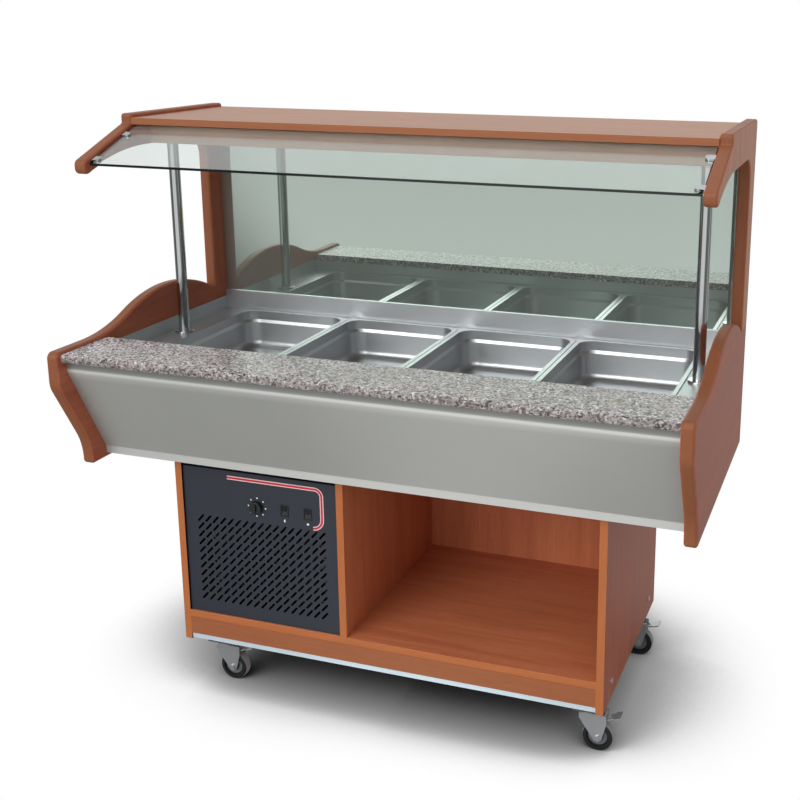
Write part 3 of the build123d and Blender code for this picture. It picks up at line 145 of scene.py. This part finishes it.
camera_place = (1.0725, -2.5155, 1.6803)
yaw, pitch, roll = 0.3177, -0.2446, 0.0050
level = Vector((-math.sin(yaw), math.cos(yaw), 0))
across = Vector((math.cos(yaw), math.sin(yaw), 0))
ahead = level * math.cos(pitch) + Vector((0, 0, math.sin(pitch)))
above = Vector((0, 0, math.cos(pitch))) - level * math.sin(pitch)
right = across * math.cos(roll) + above * math.sin(roll)
upward = above * math.cos(roll) - across * math.sin(roll)
turn = Matrix((right, upward, -ahead)).transposed().to_4x4()

camera = bpy.data.objects.new("camera", bpy.data.cameras.new("camera"))
scene.collection.objects.link(camera)
camera.matrix_world = Matrix.Translation(camera_place) @ turn
camera.data.sensor_width = 36.0
camera.data.lens = 52.87
camera.data.shift_x = -0.135
camera.data.shift_y = -0.11
camera.data.clip_start = 0.05
camera.data.clip_end = 100.0
scene.camera = camera


# Light

def sun(name, direction, strength, spread):
    """A sun that shines in a direction, with its spread in degrees."""
    lamp = bpy.data.lights.new(name, "SUN")
    lamp.energy = strength
    lamp.angle = math.radians(spread)
    holder = bpy.data.objects.new(name, lamp)
    scene.collection.objects.link(holder)
    holder.rotation_mode = "QUATERNION"
    holder.rotation_quaternion = Vector(direction).to_track_quat("-Z", "Y")


sun("sun_key", (0.38, 0.95, -0.48), 1.25, 40)
sun("sun_top", (0.12, 0.15, -1.0), 0.60, 75)

# How bright the studio looks in metal and glass, by the way a reflection points: from the back by the left,
# the front at one half, and by the right to the back again. The sides have darker walls.
STUDIO = [
    (0.00, 0.80), (0.03, 0.95), (0.10, 0.90), (0.17, 0.55), (0.23, 0.14), (0.28, 0.30), (0.32, 0.12),
    (0.38, 0.14), (0.41, 0.90), (0.48, 0.92), (0.52, 0.98), (0.57, 0.95), (0.62, 0.30), (0.65, 0.10),
    (0.68, 0.28), (0.72, 0.14), (0.76, 0.55), (0.82, 0.20), (0.88, 0.50), (0.97, 0.60), (1.00, 0.80),
]
WHITE = (1.0, 1.0, 1.0, 1.0)


def studio_wall(graph, direction):
    """The studio's brightness in one direction, for reflections."""
    backwards = graph.count("MULTIPLY", graph.axis(direction, 1), -1.0)
    angle = graph.count("ARCTAN2", graph.axis(direction, 0), backwards)
    return graph.ramp(graph.span(angle, -math.pi, math.pi), STUDIO, "EASE")


world = bpy.data.worlds.new("studio")
scene.world = world
world.use_nodes = True
sky = Nodes(world.node_tree)
around = sky.node("ShaderNodeTexCoord").outputs["Generated"]


def background(color, strength):
    made = sky.node("ShaderNodeBackground")
    sky.give(made.inputs["Color"], color)
    sky.give(made.inputs["Strength"], strength)
    return made.outputs[0]


# What lights the object is brighter in front, above and on the left than on the right and behind.
brightest_way = (-0.48, -0.70, 0.53)
darkest, brightest = 0.16, 0.74
lit = background(WHITE, sky.span(sky.dot(around, brightest_way), -1.0, 1.0, darkest, brightest))
seen_straight, seen_in_gloss = sky.ray_kinds()
in_view = sky.choose(seen_straight, lit, background(WHITE, 1.0))
whole_sky = sky.choose(seen_in_gloss, in_view, background(studio_wall(sky, around), 1.0))
sky.join(whole_sky, sky.node("ShaderNodeOutputWorld").inputs["Surface"])


# Materials

materials = {}
GLASS_SLOPE = math.radians(21.385)
FASCIA_LOW, FASCIA_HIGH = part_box("front_fascia")
DIVIDER_LOW, DIVIDER_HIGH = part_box("cabinet_divider")


class Surface(Nodes):
    """A material with one principled shader, kept under its name, and the nodes that often feed it."""

    def __init__(self, name, color, **values):
        self.material = bpy.data.materials.new(name)
        self.material.use_nodes = True
        super().__init__(self.material.node_tree)
        self.output = self.node("ShaderNodeOutputMaterial")
        self.shader = self.node("ShaderNodeBsdfPrincipled")
        self.join(self.shader.outputs["BSDF"], self.output.inputs["Surface"])
        self.shader.inputs["Base Color"].default_value = color
        for socket, value in values.items():
            self.shader.inputs[socket.replace("_", " ")].default_value = value
        coordinates = self.node("ShaderNodeTexCoord")
        self.place = coordinates.outputs["Object"]
        self.normal = coordinates.outputs["Normal"]
        materials[name] = self.material

    def stretched(self, scale, shift=(0, 0, 0)):
        """The object's coordinates, scaled by one number for every axis or by one for each."""
        mapping = self.node("ShaderNodeMapping")
        mapping.inputs["Scale"].default_value = [scale] * 3 if isinstance(scale, float) else scale
        mapping.inputs["Location"].default_value = shift
        self.join(self.place, mapping.inputs["Vector"])
        return mapping.outputs["Vector"]

    def along(self, grain, across_it, along_it, shift=(0, 0, 0)):
        """Coordinates for marks that are long in one axis, with their scale across it and along it."""
        scale = [across_it] * 3
        scale[grain] = along_it
        return self.stretched(scale, shift)

    def noise(self, vector, scale=1.0, detail=2.0, roughness=0.5, distortion=0.0, output=0):
        made = self.node("ShaderNodeTexNoise")
        self.join(vector, made.inputs["Vector"])
        made.inputs["Scale"].default_value = scale
        made.inputs["Detail"].default_value = detail
        made.inputs["Roughness"].default_value = roughness
        made.inputs["Distortion"].default_value = distortion
        return made.outputs[output]

    def cells(self, vector, scale, channel):
        """A plain random number in each cell of a pattern."""
        made = self.node("ShaderNodeTexVoronoi")
        self.join(vector, made.inputs["Vector"])
        made.inputs["Scale"].default_value = scale
        return self.axis(made.outputs["Color"], channel)

    def height(self):
        return self.axis(self.place, 2)

    def facing(self, axis, direction=1.0):
        """How far the surface faces along an axis, from -1 to 1."""
        return self.count("MULTIPLY", self.axis(self.normal, axis), direction)

    def color(self, value):
        self.join(value, self.shader.inputs["Base Color"])

    def rough(self, value):
        self.join(value, self.shader.inputs["Roughness"])

    def specular(self, value):
        self.shader.inputs["Specular IOR Level"].default_value = value

    def bump(self, height, strength, distance):
        made = self.node("ShaderNodeBump")
        made.inputs["Strength"].default_value = strength
        made.inputs["Distance"].default_value = distance
        self.join(height, made.inputs["Height"])
        self.join(made.outputs["Normal"], self.shader.inputs["Normal"])


def wood(
    name, grain, dark, middle, light, band=None, shift=(0, 0, 0), upright=False, bay_shade=None, outer=None
):
    """Satin veneer with its grain along one axis. The edges take the band's colour: those that look forwards,
    or, on an upright plate that stands along the counter's side, all its edges. The face that looks into the
    machine bay may be painted near black as painted shade: it is given by its axis and its direction. The
    face that looks away from the counter's middle may be painted a paler tone of its own, a painted sheen."""
    graph = Surface(name, middle)
    graph.specular(0.34)
    figure = graph.noise(graph.along(grain, 30.0, 2.2, shift), 1.0, 4.0, 0.6, 0.5)
    streaks = graph.noise(graph.along(grain, 170.0, 9.0, shift), 1.0, 3.0, 0.6, 0.3)
    pores = graph.noise(graph.along(grain, 700.0, 40.0, shift), 1.0, 1.0, 0.5)
    tone = graph.ramp(figure, [(0.25, dark), (0.50, middle), (0.75, light)])
    tone = graph.mix(graph.span(streaks, 0.35, 0.70, 0.0, 0.35), tone, dark)
    tone = graph.mix(graph.span(pores, 0.58, 0.70, 0.0, 0.30), tone, scaled(dark, 0.6))
    # Painted sheen: the face that looks away from the counter's middle is painted a paler, greyer tone.
    if outer is not None:
        outwards = graph.facing(0, graph.count("SIGN", graph.axis(graph.place, 0)))
        sheen_veined = graph.mix(graph.span(figure, 0.25, 0.75, 0.0, 0.5), outer, scaled(outer, 0.8))
        tone = graph.mix(graph.span(outwards, 0.75, 0.90), tone, sheen_veined)
    if band is not None:
        if upright:
            on_edge = graph.span(graph.count("ABSOLUTE", graph.facing(0)), 0.75, 0.50)
        else:
            on_edge = graph.span(graph.facing(1, -1.0), 0.55, 0.75)
        banded = graph.mix(graph.span(streaks, 0.35, 0.7, 0.0, 0.5), band, scaled(band, 0.8))
        tone = graph.mix(on_edge, tone, banded)
    # Painted shade: the face that looks into the machine bay is painted near black.
    if bay_shade is not None:
        bay_end = (DIVIDER_LOW.x + DIVIDER_HIGH.x) / 2
        inwards = graph.span(graph.facing(*bay_shade), 0.75, 0.90)
        in_bay = graph.span(graph.axis(graph.place, 0), bay_end, bay_end - 0.002)
        tone = graph.mix(graph.count("MULTIPLY", inwards, in_bay), tone, display(27, 23, 22))
    graph.color(tone)
    graph.rough(graph.span(figure, 0.2, 0.8, 0.40, 0.52))
    graph.bump(pores, 0.06, 0.0004)


def steel(name, color, roughness, brushed, fine=0.04, metallic=1.0):
    """Brushed sheet metal. The brushing runs along one axis."""
    graph = Surface(name, color, Metallic=metallic)
    lines = graph.noise(graph.along(brushed, 900.0, 14.0), 1.0, 2.0, 0.6)
    cloud = graph.noise(graph.stretched(9.0), 1.0, 3.0, 0.5)
    graph.color(graph.mix(graph.span(cloud, 0.3, 0.7, 0.0, 0.25), color, scaled(color, 0.82)))
    graph.rough(graph.span(lines, 0.3, 0.7, roughness - fine, roughness + fine))
    graph.bump(lines, 0.035, 0.0004)


def granite(name):
    """Polished stone with pink, grey, white and black grains of 3 to 6 mm. Its front edge is darker."""
    graph = Surface(name, display(165, 150, 145))
    graph.specular(0.14)
    ragged = graph.node("ShaderNodeVectorMath", operation="MULTIPLY_ADD")
    graph.join(graph.noise(graph.place, 300.0, output="Color"), ragged.inputs[0])
    ragged.inputs[1].default_value = (0.0016, 0.0016, 0.0016)
    graph.join(graph.place, ragged.inputs[2])
    grains = graph.cells(ragged.outputs[0], 215.0, 0)
    base = graph.ramp(
        grains,
        [
            (0.0, display(58, 56, 58)),
            (0.13, display(122, 115, 113)),
            (0.30, display(185, 171, 167)),
            (0.56, display(166, 163, 165)),
            (0.72, display(206, 201, 200)),
            (0.88, display(238, 238, 240)),
        ],
        "CONSTANT",
    )
    flecks = graph.cells(ragged.outputs[0], 340.0, 1)
    base = graph.mix(graph.span(flecks, 0.84, 0.87, 0.0, 0.85), base, display(48, 46, 49))
    clouds = graph.noise(graph.stretched(26.0), 1.0, 3.0, 0.6)
    base = graph.mix(graph.span(clouds, 0.35, 0.7, 0.0, 0.20), base, display(192, 186, 186))
    forwards = graph.span(graph.facing(1, -1.0), 0.3, 0.9, 0.0, 0.45)
    graph.color(graph.mix(forwards, base, display(92, 82, 77)))
    graph.rough(graph.span(grains, 0.0, 1.0, 0.24, 0.34))


def paint(name, color, roughness, grain_size, depth, gloss=0.5):
    """A painted or moulded surface with a fine grain, whose size is in metres."""
    graph = Surface(name, color)
    graph.specular(gloss)
    grain = graph.noise(graph.stretched(1.0 / grain_size), 1.0, 2.0, 0.6)
    cloud = graph.noise(graph.stretched(6.0), 1.0, 3.0, 0.5)
    speckled = graph.mix(graph.span(grain, 0.3, 0.7, 0.0, 0.12), color, scaled(color, 0.6))
    graph.color(graph.mix(graph.span(cloud, 0.3, 0.7, 0.0, 0.15), speckled, scaled(color, 1.15)))
    graph.rough(graph.span(grain, 0.3, 0.7, roughness - 0.06, roughness + 0.06))
    graph.bump(grain, depth, 0.0006)


def fascia(name):
    """Grey painted sheet with a fine grain. Its upper fold and its lip carry a painted highlight, and the
    strip under the shelf carries a painted shadow."""
    top, foot = FASCIA_HIGH.z, FASCIA_LOW.z
    below_fold = (top - 0.045, top - 0.027)
    shelf_shadow_band = (top - 0.023, top - 0.011)
    above_lip = (foot + 0.0205, foot + 0.0190)
    lip = (foot + 0.023, foot + 0.015)
    slant = -0.46
    graph = Surface(name, display(167, 169, 165), Metallic=0.25)
    grain = graph.noise(graph.stretched(520.0), 1.0, 2.0, 0.7)
    cloud = graph.noise(graph.stretched(5.0), 1.0, 3.0, 0.5)
    tone = graph.mix(graph.span(grain, 0.3, 0.7, 0.0, 0.16), display(171, 173, 169), display(138, 140, 137))
    tone = graph.mix(graph.span(cloud, 0.3, 0.7, 0.0, 0.12), tone, display(186, 188, 184))
    # Painted shadow: the strip under the granite shelf is painted darker.
    tone = graph.mix(graph.span(graph.height(), *shelf_shadow_band), tone, display(126, 128, 126))
    # Painted highlight: the folds, where they turn, and the forward face of the lip are painted lighter.
    fold_highlight_tones = [(0.0, 0.38), (0.45, 0.75), (0.72, 0.75), (0.95, 0.0)]
    fold_highlight = graph.ramp(graph.span(graph.facing(2), slant, 0.0), fold_highlight_tones, "EASE")
    near_folds = graph.count(
        "MAXIMUM", graph.span(graph.height(), *below_fold), graph.span(graph.height(), *above_lip)
    )
    forwards = graph.span(graph.facing(1), -0.90, -0.97, 0.0, 0.40)
    lip_highlight = graph.count("MULTIPLY", graph.span(graph.height(), *lip), forwards)
    painted_highlight = graph.count("MAXIMUM", graph.count("MULTIPLY", fold_highlight, near_folds), lip_highlight)
    graph.color(graph.mix(painted_highlight, tone, display(226, 227, 223)))
    graph.rough(graph.span(grain, 0.3, 0.7, 0.34, 0.44))
    graph.bump(grain, 0.06, 0.0006)


def castor_wheel(name, centre_x, centre_z):
    """A castor's wheel: a black tyre with a grey ring on its sides and a light grey tread."""
    rubber = display(28, 29, 32)
    rings_to = 0.040
    tread_from, tread_to = 0.032, 0.034
    graph = Surface(name, rubber)
    across_it = graph.count("SUBTRACT", graph.axis(graph.place, 0), centre_x)
    up_it = graph.count("SUBTRACT", graph.height(), centre_z)
    across_squared = graph.count("MULTIPLY", across_it, across_it)
    up_squared = graph.count("MULTIPLY", up_it, up_it)
    radius = graph.count("SQRT", graph.count("ADD", across_squared, up_squared))
    rings = graph.ramp(
        graph.span(radius, 0.0, rings_to),
        [(0.0, display(140, 143, 146)), (0.24, rubber), (0.32, display(98, 102, 106)), (0.56, rubber)],
        "CONSTANT",
    )
    sideways = graph.count("ABSOLUTE", graph.facing(1))
    tread = graph.count(
        "MULTIPLY", graph.span(sideways, 0.75, 0.45), graph.span(radius, tread_from, tread_to)
    )
    scuffs = graph.noise(graph.stretched(420.0), 1.0, 3.0, 0.6)
    scuffed = graph.span(scuffs, 0.35, 0.7, 0.0, 0.4)
    worn = graph.mix(scuffed, display(164, 167, 170), display(110, 112, 115))
    graph.color(graph.mix(tread, rings, worn))
    graph.rough(graph.span(scuffs, 0.3, 0.7, 0.42, 0.58))
    graph.bump(scuffs, 0.08, 0.0004)


def rocker(name):
    """Black plastic whose upper half, which leans towards the light, is painted a little greyer: painted
    light.
    """
    graph = Surface(name, display(24, 25, 28))
    grain = graph.noise(graph.stretched(1100.0), 1.0, 2.0, 0.6)
    # Painted light: the upper half is painted greyer than the lower.
    graph.color(graph.mix(graph.span(graph.facing(2), 0.02, 0.10), display(22, 23, 26), display(58, 60, 64)))
    graph.rough(graph.span(grain, 0.3, 0.7, 0.36, 0.46))


def bright(name, color, roughness, metallic=1.0):
    """Plated metal or mirror silver with faint wipe marks in its gloss."""
    graph = Surface(name, color, Metallic=metallic)
    smear = graph.noise(graph.stretched((12.0, 12.0, 3.0)), 1.0, 4.0, 0.6)
    graph.rough(graph.span(smear, 0.3, 0.8, roughness, roughness * 1.6))
    graph.color(graph.mix(graph.span(smear, 0.3, 0.7, 0.0, 0.1), color, scaled(color, 0.9)))


def glass(name):
    """Clear sheet glass. Its sawn edges look dark green, because one looks along the sheet there."""
    graph = Surface(name, display(246, 252, 249), IOR=1.5, Transmission_Weight=0.90, Roughness=0.0)
    out_of_sheet = (0.0, -math.sin(GLASS_SLOPE), math.cos(GLASS_SLOPE))
    flatness = graph.count("ABSOLUTE", graph.dot(graph.normal, out_of_sheet))
    haze = graph.noise(graph.stretched(5.0), 1.0, 2.0, 0.5)
    clear = graph.mix(graph.span(haze, 0.3, 0.7), display(247, 252, 250), display(242, 249, 246))
    graph.color(graph.mix(graph.span(flatness, 0.4, 0.8), display(20, 60, 44), clear))


# Each wood's dark, middle and light tone, and the tones of the edge bands
CHERRY = (display(155, 80, 54), display(177, 97, 67), display(190, 110, 79))
# Painted light: a lighter copy of the cherry veneer for the boards in and under the cabinet.
LIT_INNER = (display(184, 104, 69), display(204, 120, 81), display(214, 133, 94))
# Painted sheen: a paler, pinker copy of the veneer for the top board, as its top looks under the gloss.
SHEEN_BOARD = (display(160, 115, 90), display(179, 132, 106), display(191, 144, 118))
# Painted reflection: a paler, washed copy of the veneer for the valance, for the glass's reflection over it.
GLARE_VALANCE = (display(188, 148, 115), display(205, 164, 131), display(214, 175, 144))
BAND = display(181, 105, 57)
# Painted shade: a darker copy of the band, for the edges of the end panels and hood plates.
SHADED_BAND = display(142, 83, 51)

wood("wood_x", 0, *LIT_INNER, BAND)
wood("wood_plinth", 0, *LIT_INNER, display(158, 93, 57), (0.4, 0.1, 0.6))
wood("wood_y", 1, *CHERRY, SHADED_BAND, (0.7, 0.2, 0.4), True)
wood("wood_z", 2, *CHERRY, BAND, (0.3, 0.9, 0.1), True)
wood("wood_side", 2, *CHERRY, BAND, (0.8, 0.3, 0.6), True, bay_shade=(0, 1.0))
wood("wood_hood", 2, *CHERRY, SHADED_BAND, (0.6, 0.5, 0.9), True, outer=display(192, 130, 96))
wood("wood_inner", 2, *LIT_INNER, None, (0.1, 0.4, 0.8), bay_shade=(1, -1.0))
wood("wood_divider", 2, *LIT_INNER, BAND, (0.5, 0.4, 0.2), True, bay_shade=(0, -1.0))
wood("wood_board", 0, *SHEEN_BOARD, display(162, 98, 61), (0.2, 0.6, 0.5))
wood("wood_valance", 0, *GLARE_VALANCE, None, (0.9, 0.3, 0.3))
steel("trim_aluminium", display(214, 232, 240), 0.42, 0, metallic=0.3)
steel("zinc_steel", display(204, 207, 210), 0.36, 2, 0.06, 0.75)
steel("galvanised_steel", display(120, 123, 127), 0.48, 0, 0.08)
steel("fin_aluminium", display(112, 115, 119), 0.45, 2)
steel("copper", display(104, 68, 52), 0.5, 0, 0.08)
steel("stainless", display(204, 207, 209), 0.42, 0, metallic=0.85)
steel("pan_steel", display(198, 201, 203), 0.36, 1, metallic=0.92)
paint("rail_steel", display(92, 94, 97), 0.5, 0.0012, 0.10)
paint("bay_panel_paint", display(48, 52, 60), 0.5, 0.0013, 0.16, gloss=0.3)
paint("black_plastic", display(24, 25, 28), 0.42, 0.0009, 0.08)
paint("machine_black", display(24, 25, 27), 0.4, 0.002, 0.10)
paint("foam", display(222, 208, 160), 0.85, 0.004, 0.4)
paint("drain_plastic", display(190, 191, 192), 0.5, 0.002, 0.05)
paint("lamp_white", display(232, 233, 230), 0.35, 0.002, 0.03)
paint("white_print", display(226, 227, 226), 0.5, 0.0008, 0.02)
paint("red_print", display(196, 30, 44), 0.45, 0.0008, 0.02)
paint("pale_print", display(232, 196, 200), 0.5, 0.0008, 0.02)
paint("edge_green", display(24, 34, 32), 0.2, 0.0009, 0.02)
bright("mirror_glass", display(188, 201, 192), 0.003, 0.78)
bright("chrome", display(192, 195, 195), 0.07)
fascia("fascia_metal")
granite("granite")
glass("clear_glass")
rocker("rocker_black")

# The CAD pieces that take another material than the one they are packed with, besides pans and wheels
dressed_in = {
    "cabinet_side_left": "wood_side",
    "cabinet_side_right": "wood_z",
    "cabinet_divider": "wood_divider",
    "cabinet_back": "wood_inner",
    "cabinet_floor": "wood_x",
    "plinth_rails": "wood_plinth",
    "end_panel_left": "wood_y",
    "end_panel_right": "wood_y",
    "hood_side_left": "wood_hood",
    "hood_side_right": "wood_hood",
    "top_board": "wood_board",
    "lamp_valance": "wood_valance",
    "mirror_backing": "wood_x",
    "left_switch_rocker": "rocker_black",
    "right_switch_rocker": "rocker_black",
}
for name, cad_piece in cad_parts.items():
    slots = cad_piece.data.materials
    if name.startswith("castor_wheel"):
        low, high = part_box(name)
        chosen = name.replace("castor_wheel", "tyre")
        castor_wheel(chosen, (low.x + high.x) / 2, (low.z + high.z) / 2)
    elif name.startswith("food_pan"):
        chosen = "pan_steel"
    else:
        chosen = dressed_in.get(name, slots[0].name.split(".")[0])
    slots.clear()
    slots.append(materials[chosen])


# Floor: what the camera sees of it is white with a soft dark shadow under and around the counter

reach = 40.0
below_wheels = -0.0005
shadow_reach = 0.5
shadow_lean = Vector((0.25, -0.9, 1.0)).normalized()
shadow_tones = [
    (0.36, 0.006), (0.43, 0.02), (0.49, 0.07), (0.58, 0.15), (0.66, 0.22), (0.75, 0.33),
    (0.80, 0.46), (0.84, 0.64), (0.88, 0.82), (0.92, 0.94), (0.96, 1.0),
]

ground = Surface("floor", (0.75, 0.75, 0.75, 1.0), Roughness=0.9)
ground.specular(0.0)
nearby = ground.node("ShaderNodeAmbientOcclusion", samples=48)
nearby.inputs["Distance"].default_value = shadow_reach
leaning = ground.node("ShaderNodeCombineXYZ")
for socket, number in zip(leaning.inputs, shadow_lean):
    socket.default_value = number
ground.join(leaning.outputs[0], nearby.inputs["Normal"])
shade = ground.ramp(nearby.outputs["AO"], shadow_tones)


def glow(color):
    made = ground.node("ShaderNodeEmission")
    ground.join(color, made.inputs["Color"])
    return made.outputs[0]


seen_straight, seen_in_gloss = ground.ray_kinds()
in_view = ground.choose(seen_straight, ground.shader.outputs["BSDF"], glow(shade))
wall_and_shade = ground.mix(1.0, studio_wall(ground, ground.place), shade, "MULTIPLY")
whole_floor = ground.choose(seen_in_gloss, in_view, glow(wall_and_shade))
ground.join(whole_floor, ground.output.inputs["Surface"])

floor_mesh = bpy.data.meshes.new("studio_floor")
corners = ((-reach, -reach), (reach, -reach), (reach, reach), (-reach, reach))
floor_mesh.from_pydata([(x, y, below_wheels) for x, y in corners], [], [(0, 1, 2, 3)])
floor_mesh.materials.append(ground.material)
floor = bpy.data.objects.new("studio_floor", floor_mesh)
scene.collection.objects.link(floor)


# Pieces that only show

def piece(name, vertices, faces, material_name):
    mesh = bpy.data.meshes.new(name)
    mesh.from_pydata(vertices, [], faces)
    mesh.update()
    mesh.materials.append(materials[material_name])
    made = bpy.data.objects.new(name, mesh)
    scene.collection.objects.link(made)
    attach(made, "counter")


def add_prism(vertices, faces, outline, back, front):
    """Adds a flat plate whose outline lies in x and z, between two values of y."""
    first = len(vertices)
    count = len(outline)
    for y in (back, front):
        vertices.extend((x, y, z) for x, z in outline)
    faces.append(tuple(first + i for i in range(count)))
    faces.append(tuple(first + count + i for i in reversed(range(count))))
    for i in range(count):
        j = (i + 1) % count
        faces.append((first + j, first + i, first + count + i, first + count + j))


def oval(x, z, width, height, sides):
    """An outline with two half axes. With four sides it is a diamond."""
    turns = [2 * math.pi * i / sides for i in range(sides)]
    return [(x + width * math.cos(turned), z + height * math.sin(turned)) for turned in turns]


def beside(line, distance):
    """The line moved sideways by a distance."""
    moved = []
    for i, (x, z) in enumerate(line):
        x0, z0 = line[max(i - 1, 0)]
        x1, z1 = line[min(i + 1, len(line) - 1)]
        length = math.hypot(x1 - x0, z1 - z0)
        moved.append((x - (z1 - z0) / length * distance, z + (x1 - x0) / length * distance))
    return moved


# The prints stand a little out of the front panel, and reach a little into it
panel_low, panel_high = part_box("unit_front_panel")
print_front = panel_low.y - 0.00025
print_back = panel_low.y + 0.0001

# Dots round the thermostat's knob
dots = 8
dot_ring = 0.0233
dot_radius = 0.0020
dot_turn = math.radians(3)
knob_low, knob_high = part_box("thermostat_knob")
knob_x = (knob_low.x + knob_high.x) / 2
knob_z = (knob_low.z + knob_high.z) / 2
vertices, faces = [], []
for index in range(dots):
    angle = 2 * math.pi * index / dots + dot_turn
    dot_x, dot_z = knob_x + dot_ring * math.sin(angle), knob_z + dot_ring * math.cos(angle)
    add_prism(vertices, faces, oval(dot_x, dot_z, dot_radius, dot_radius, 20), print_back, print_front)
piece("dial_dots", vertices, faces, "white_print")

# An oval mark under the left switch and a diamond under the right one
mark_drop = 0.0250
vertices, faces = [], []
for node_name, width, height, sides in (
    ("left_switch_rocker", 0.0021, 0.0040, 24), ("right_switch_rocker", 0.0040, 0.0036, 4),
):
    low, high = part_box(node_name)
    mark = oval((low.x + high.x) / 2, (low.z + high.z) / 2 - mark_drop, width, height, sides)
    add_prism(vertices, faces, mark, print_back, print_front)
piece("switch_marks", vertices, faces, "white_print")

# The stripe runs along the top of the panel, round its corner, down beside the switches and inwards again.
stripe_left, stripe_right = panel_low.x + 0.1225, panel_high.x - 0.0397
stripe_top, stripe_foot = panel_high.z - 0.0165, panel_high.z - 0.093
upper_bend, lower_bend = 0.018, 0.024
along_top, along_side, round_upper, round_lower = 5, 3, 8, 9
bend_x, bend_z = stripe_right - upper_bend, stripe_top - upper_bend
foot_x = stripe_right - lower_bend
line = [(stripe_left + (bend_x - stripe_left) / along_top * i, stripe_top) for i in range(along_top + 1)]
for step in range(1, round_upper + 1):
    angle = math.pi / 2 * step / round_upper
    line.append((bend_x + upper_bend * math.sin(angle), bend_z + upper_bend * math.cos(angle)))
for step in range(1, along_side + 1):
    line.append((stripe_right, bend_z - (bend_z - stripe_foot) / along_side * step))
for step in range(1, round_lower + 1):
    angle = math.pi / 2 * step / round_lower
    line.append((foot_x + lower_bend * math.cos(angle), stripe_foot - lower_bend * math.sin(angle)))

stripe_half = 0.0026
border_outside = 0.0048
for name, start, end, print_name in (
    ("stripe_red", -stripe_half, stripe_half, "red_print"),
    ("stripe_edge_outer", stripe_half, border_outside, "pale_print"),
    ("stripe_edge_inner", -border_outside, -stripe_half, "pale_print"),
):
    one, other = beside(line, start), beside(line, end)
    vertices, faces = [], []
    for i in range(len(line) - 1):
        add_prism(vertices, faces, [one[i], one[i + 1], other[i + 1], other[i]], print_back, print_front)
    piece(name, vertices, faces, print_name)

# The glass's sawn edges, dark green because one looks along the sheet there: thin bars round the sheet
glass_thickness = 0.006
edge = 0.0004
proud = 0.0002
glass_low, glass_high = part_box("sneeze_glass")
along = (math.cos(GLASS_SLOPE), math.sin(GLASS_SLOPE))
out = (-math.sin(GLASS_SLOPE), math.cos(GLASS_SLOPE))
glass_length = (glass_high.z - glass_low.z - glass_thickness * out[1]) / along[1]
foot_y = glass_low.y - glass_thickness * out[0]
foot_z = glass_low.z


def on_glass(along_by, out_by):
    """The y and z of a point so far up the sheet and so far out of its lower face."""
    return (foot_y + along_by * along[0] + out_by * out[0], foot_z + along_by * along[1] + out_by * out[1])


under, over = -proud, glass_thickness + proud
vertices, faces = [], []
for low_along, high_along, x_low, x_high in (
    (-edge, 0.0, glass_low.x - edge, glass_high.x + edge),
    (glass_length, glass_length + edge, glass_low.x - edge, glass_high.x + edge),
    (0.0, glass_length, glass_low.x - edge, glass_low.x),
    (0.0, glass_length, glass_high.x, glass_high.x + edge),
):
    first = len(vertices)
    section = ((low_along, under), (high_along, under), (high_along, over), (low_along, over))
    for x in (x_low, x_high):
        vertices.extend((x, *on_glass(*point)) for point in section)
    faces += [tuple(first + i for i in (0, 1, 2, 3)), tuple(first + i for i in (7, 6, 5, 4))]
    faces += [tuple(first + i for i in (j, j + 4, (j + 1) % 4 + 4, (j + 1) % 4)) for j in range(4)]
piece("glass_edges", vertices, faces, "edge_green")
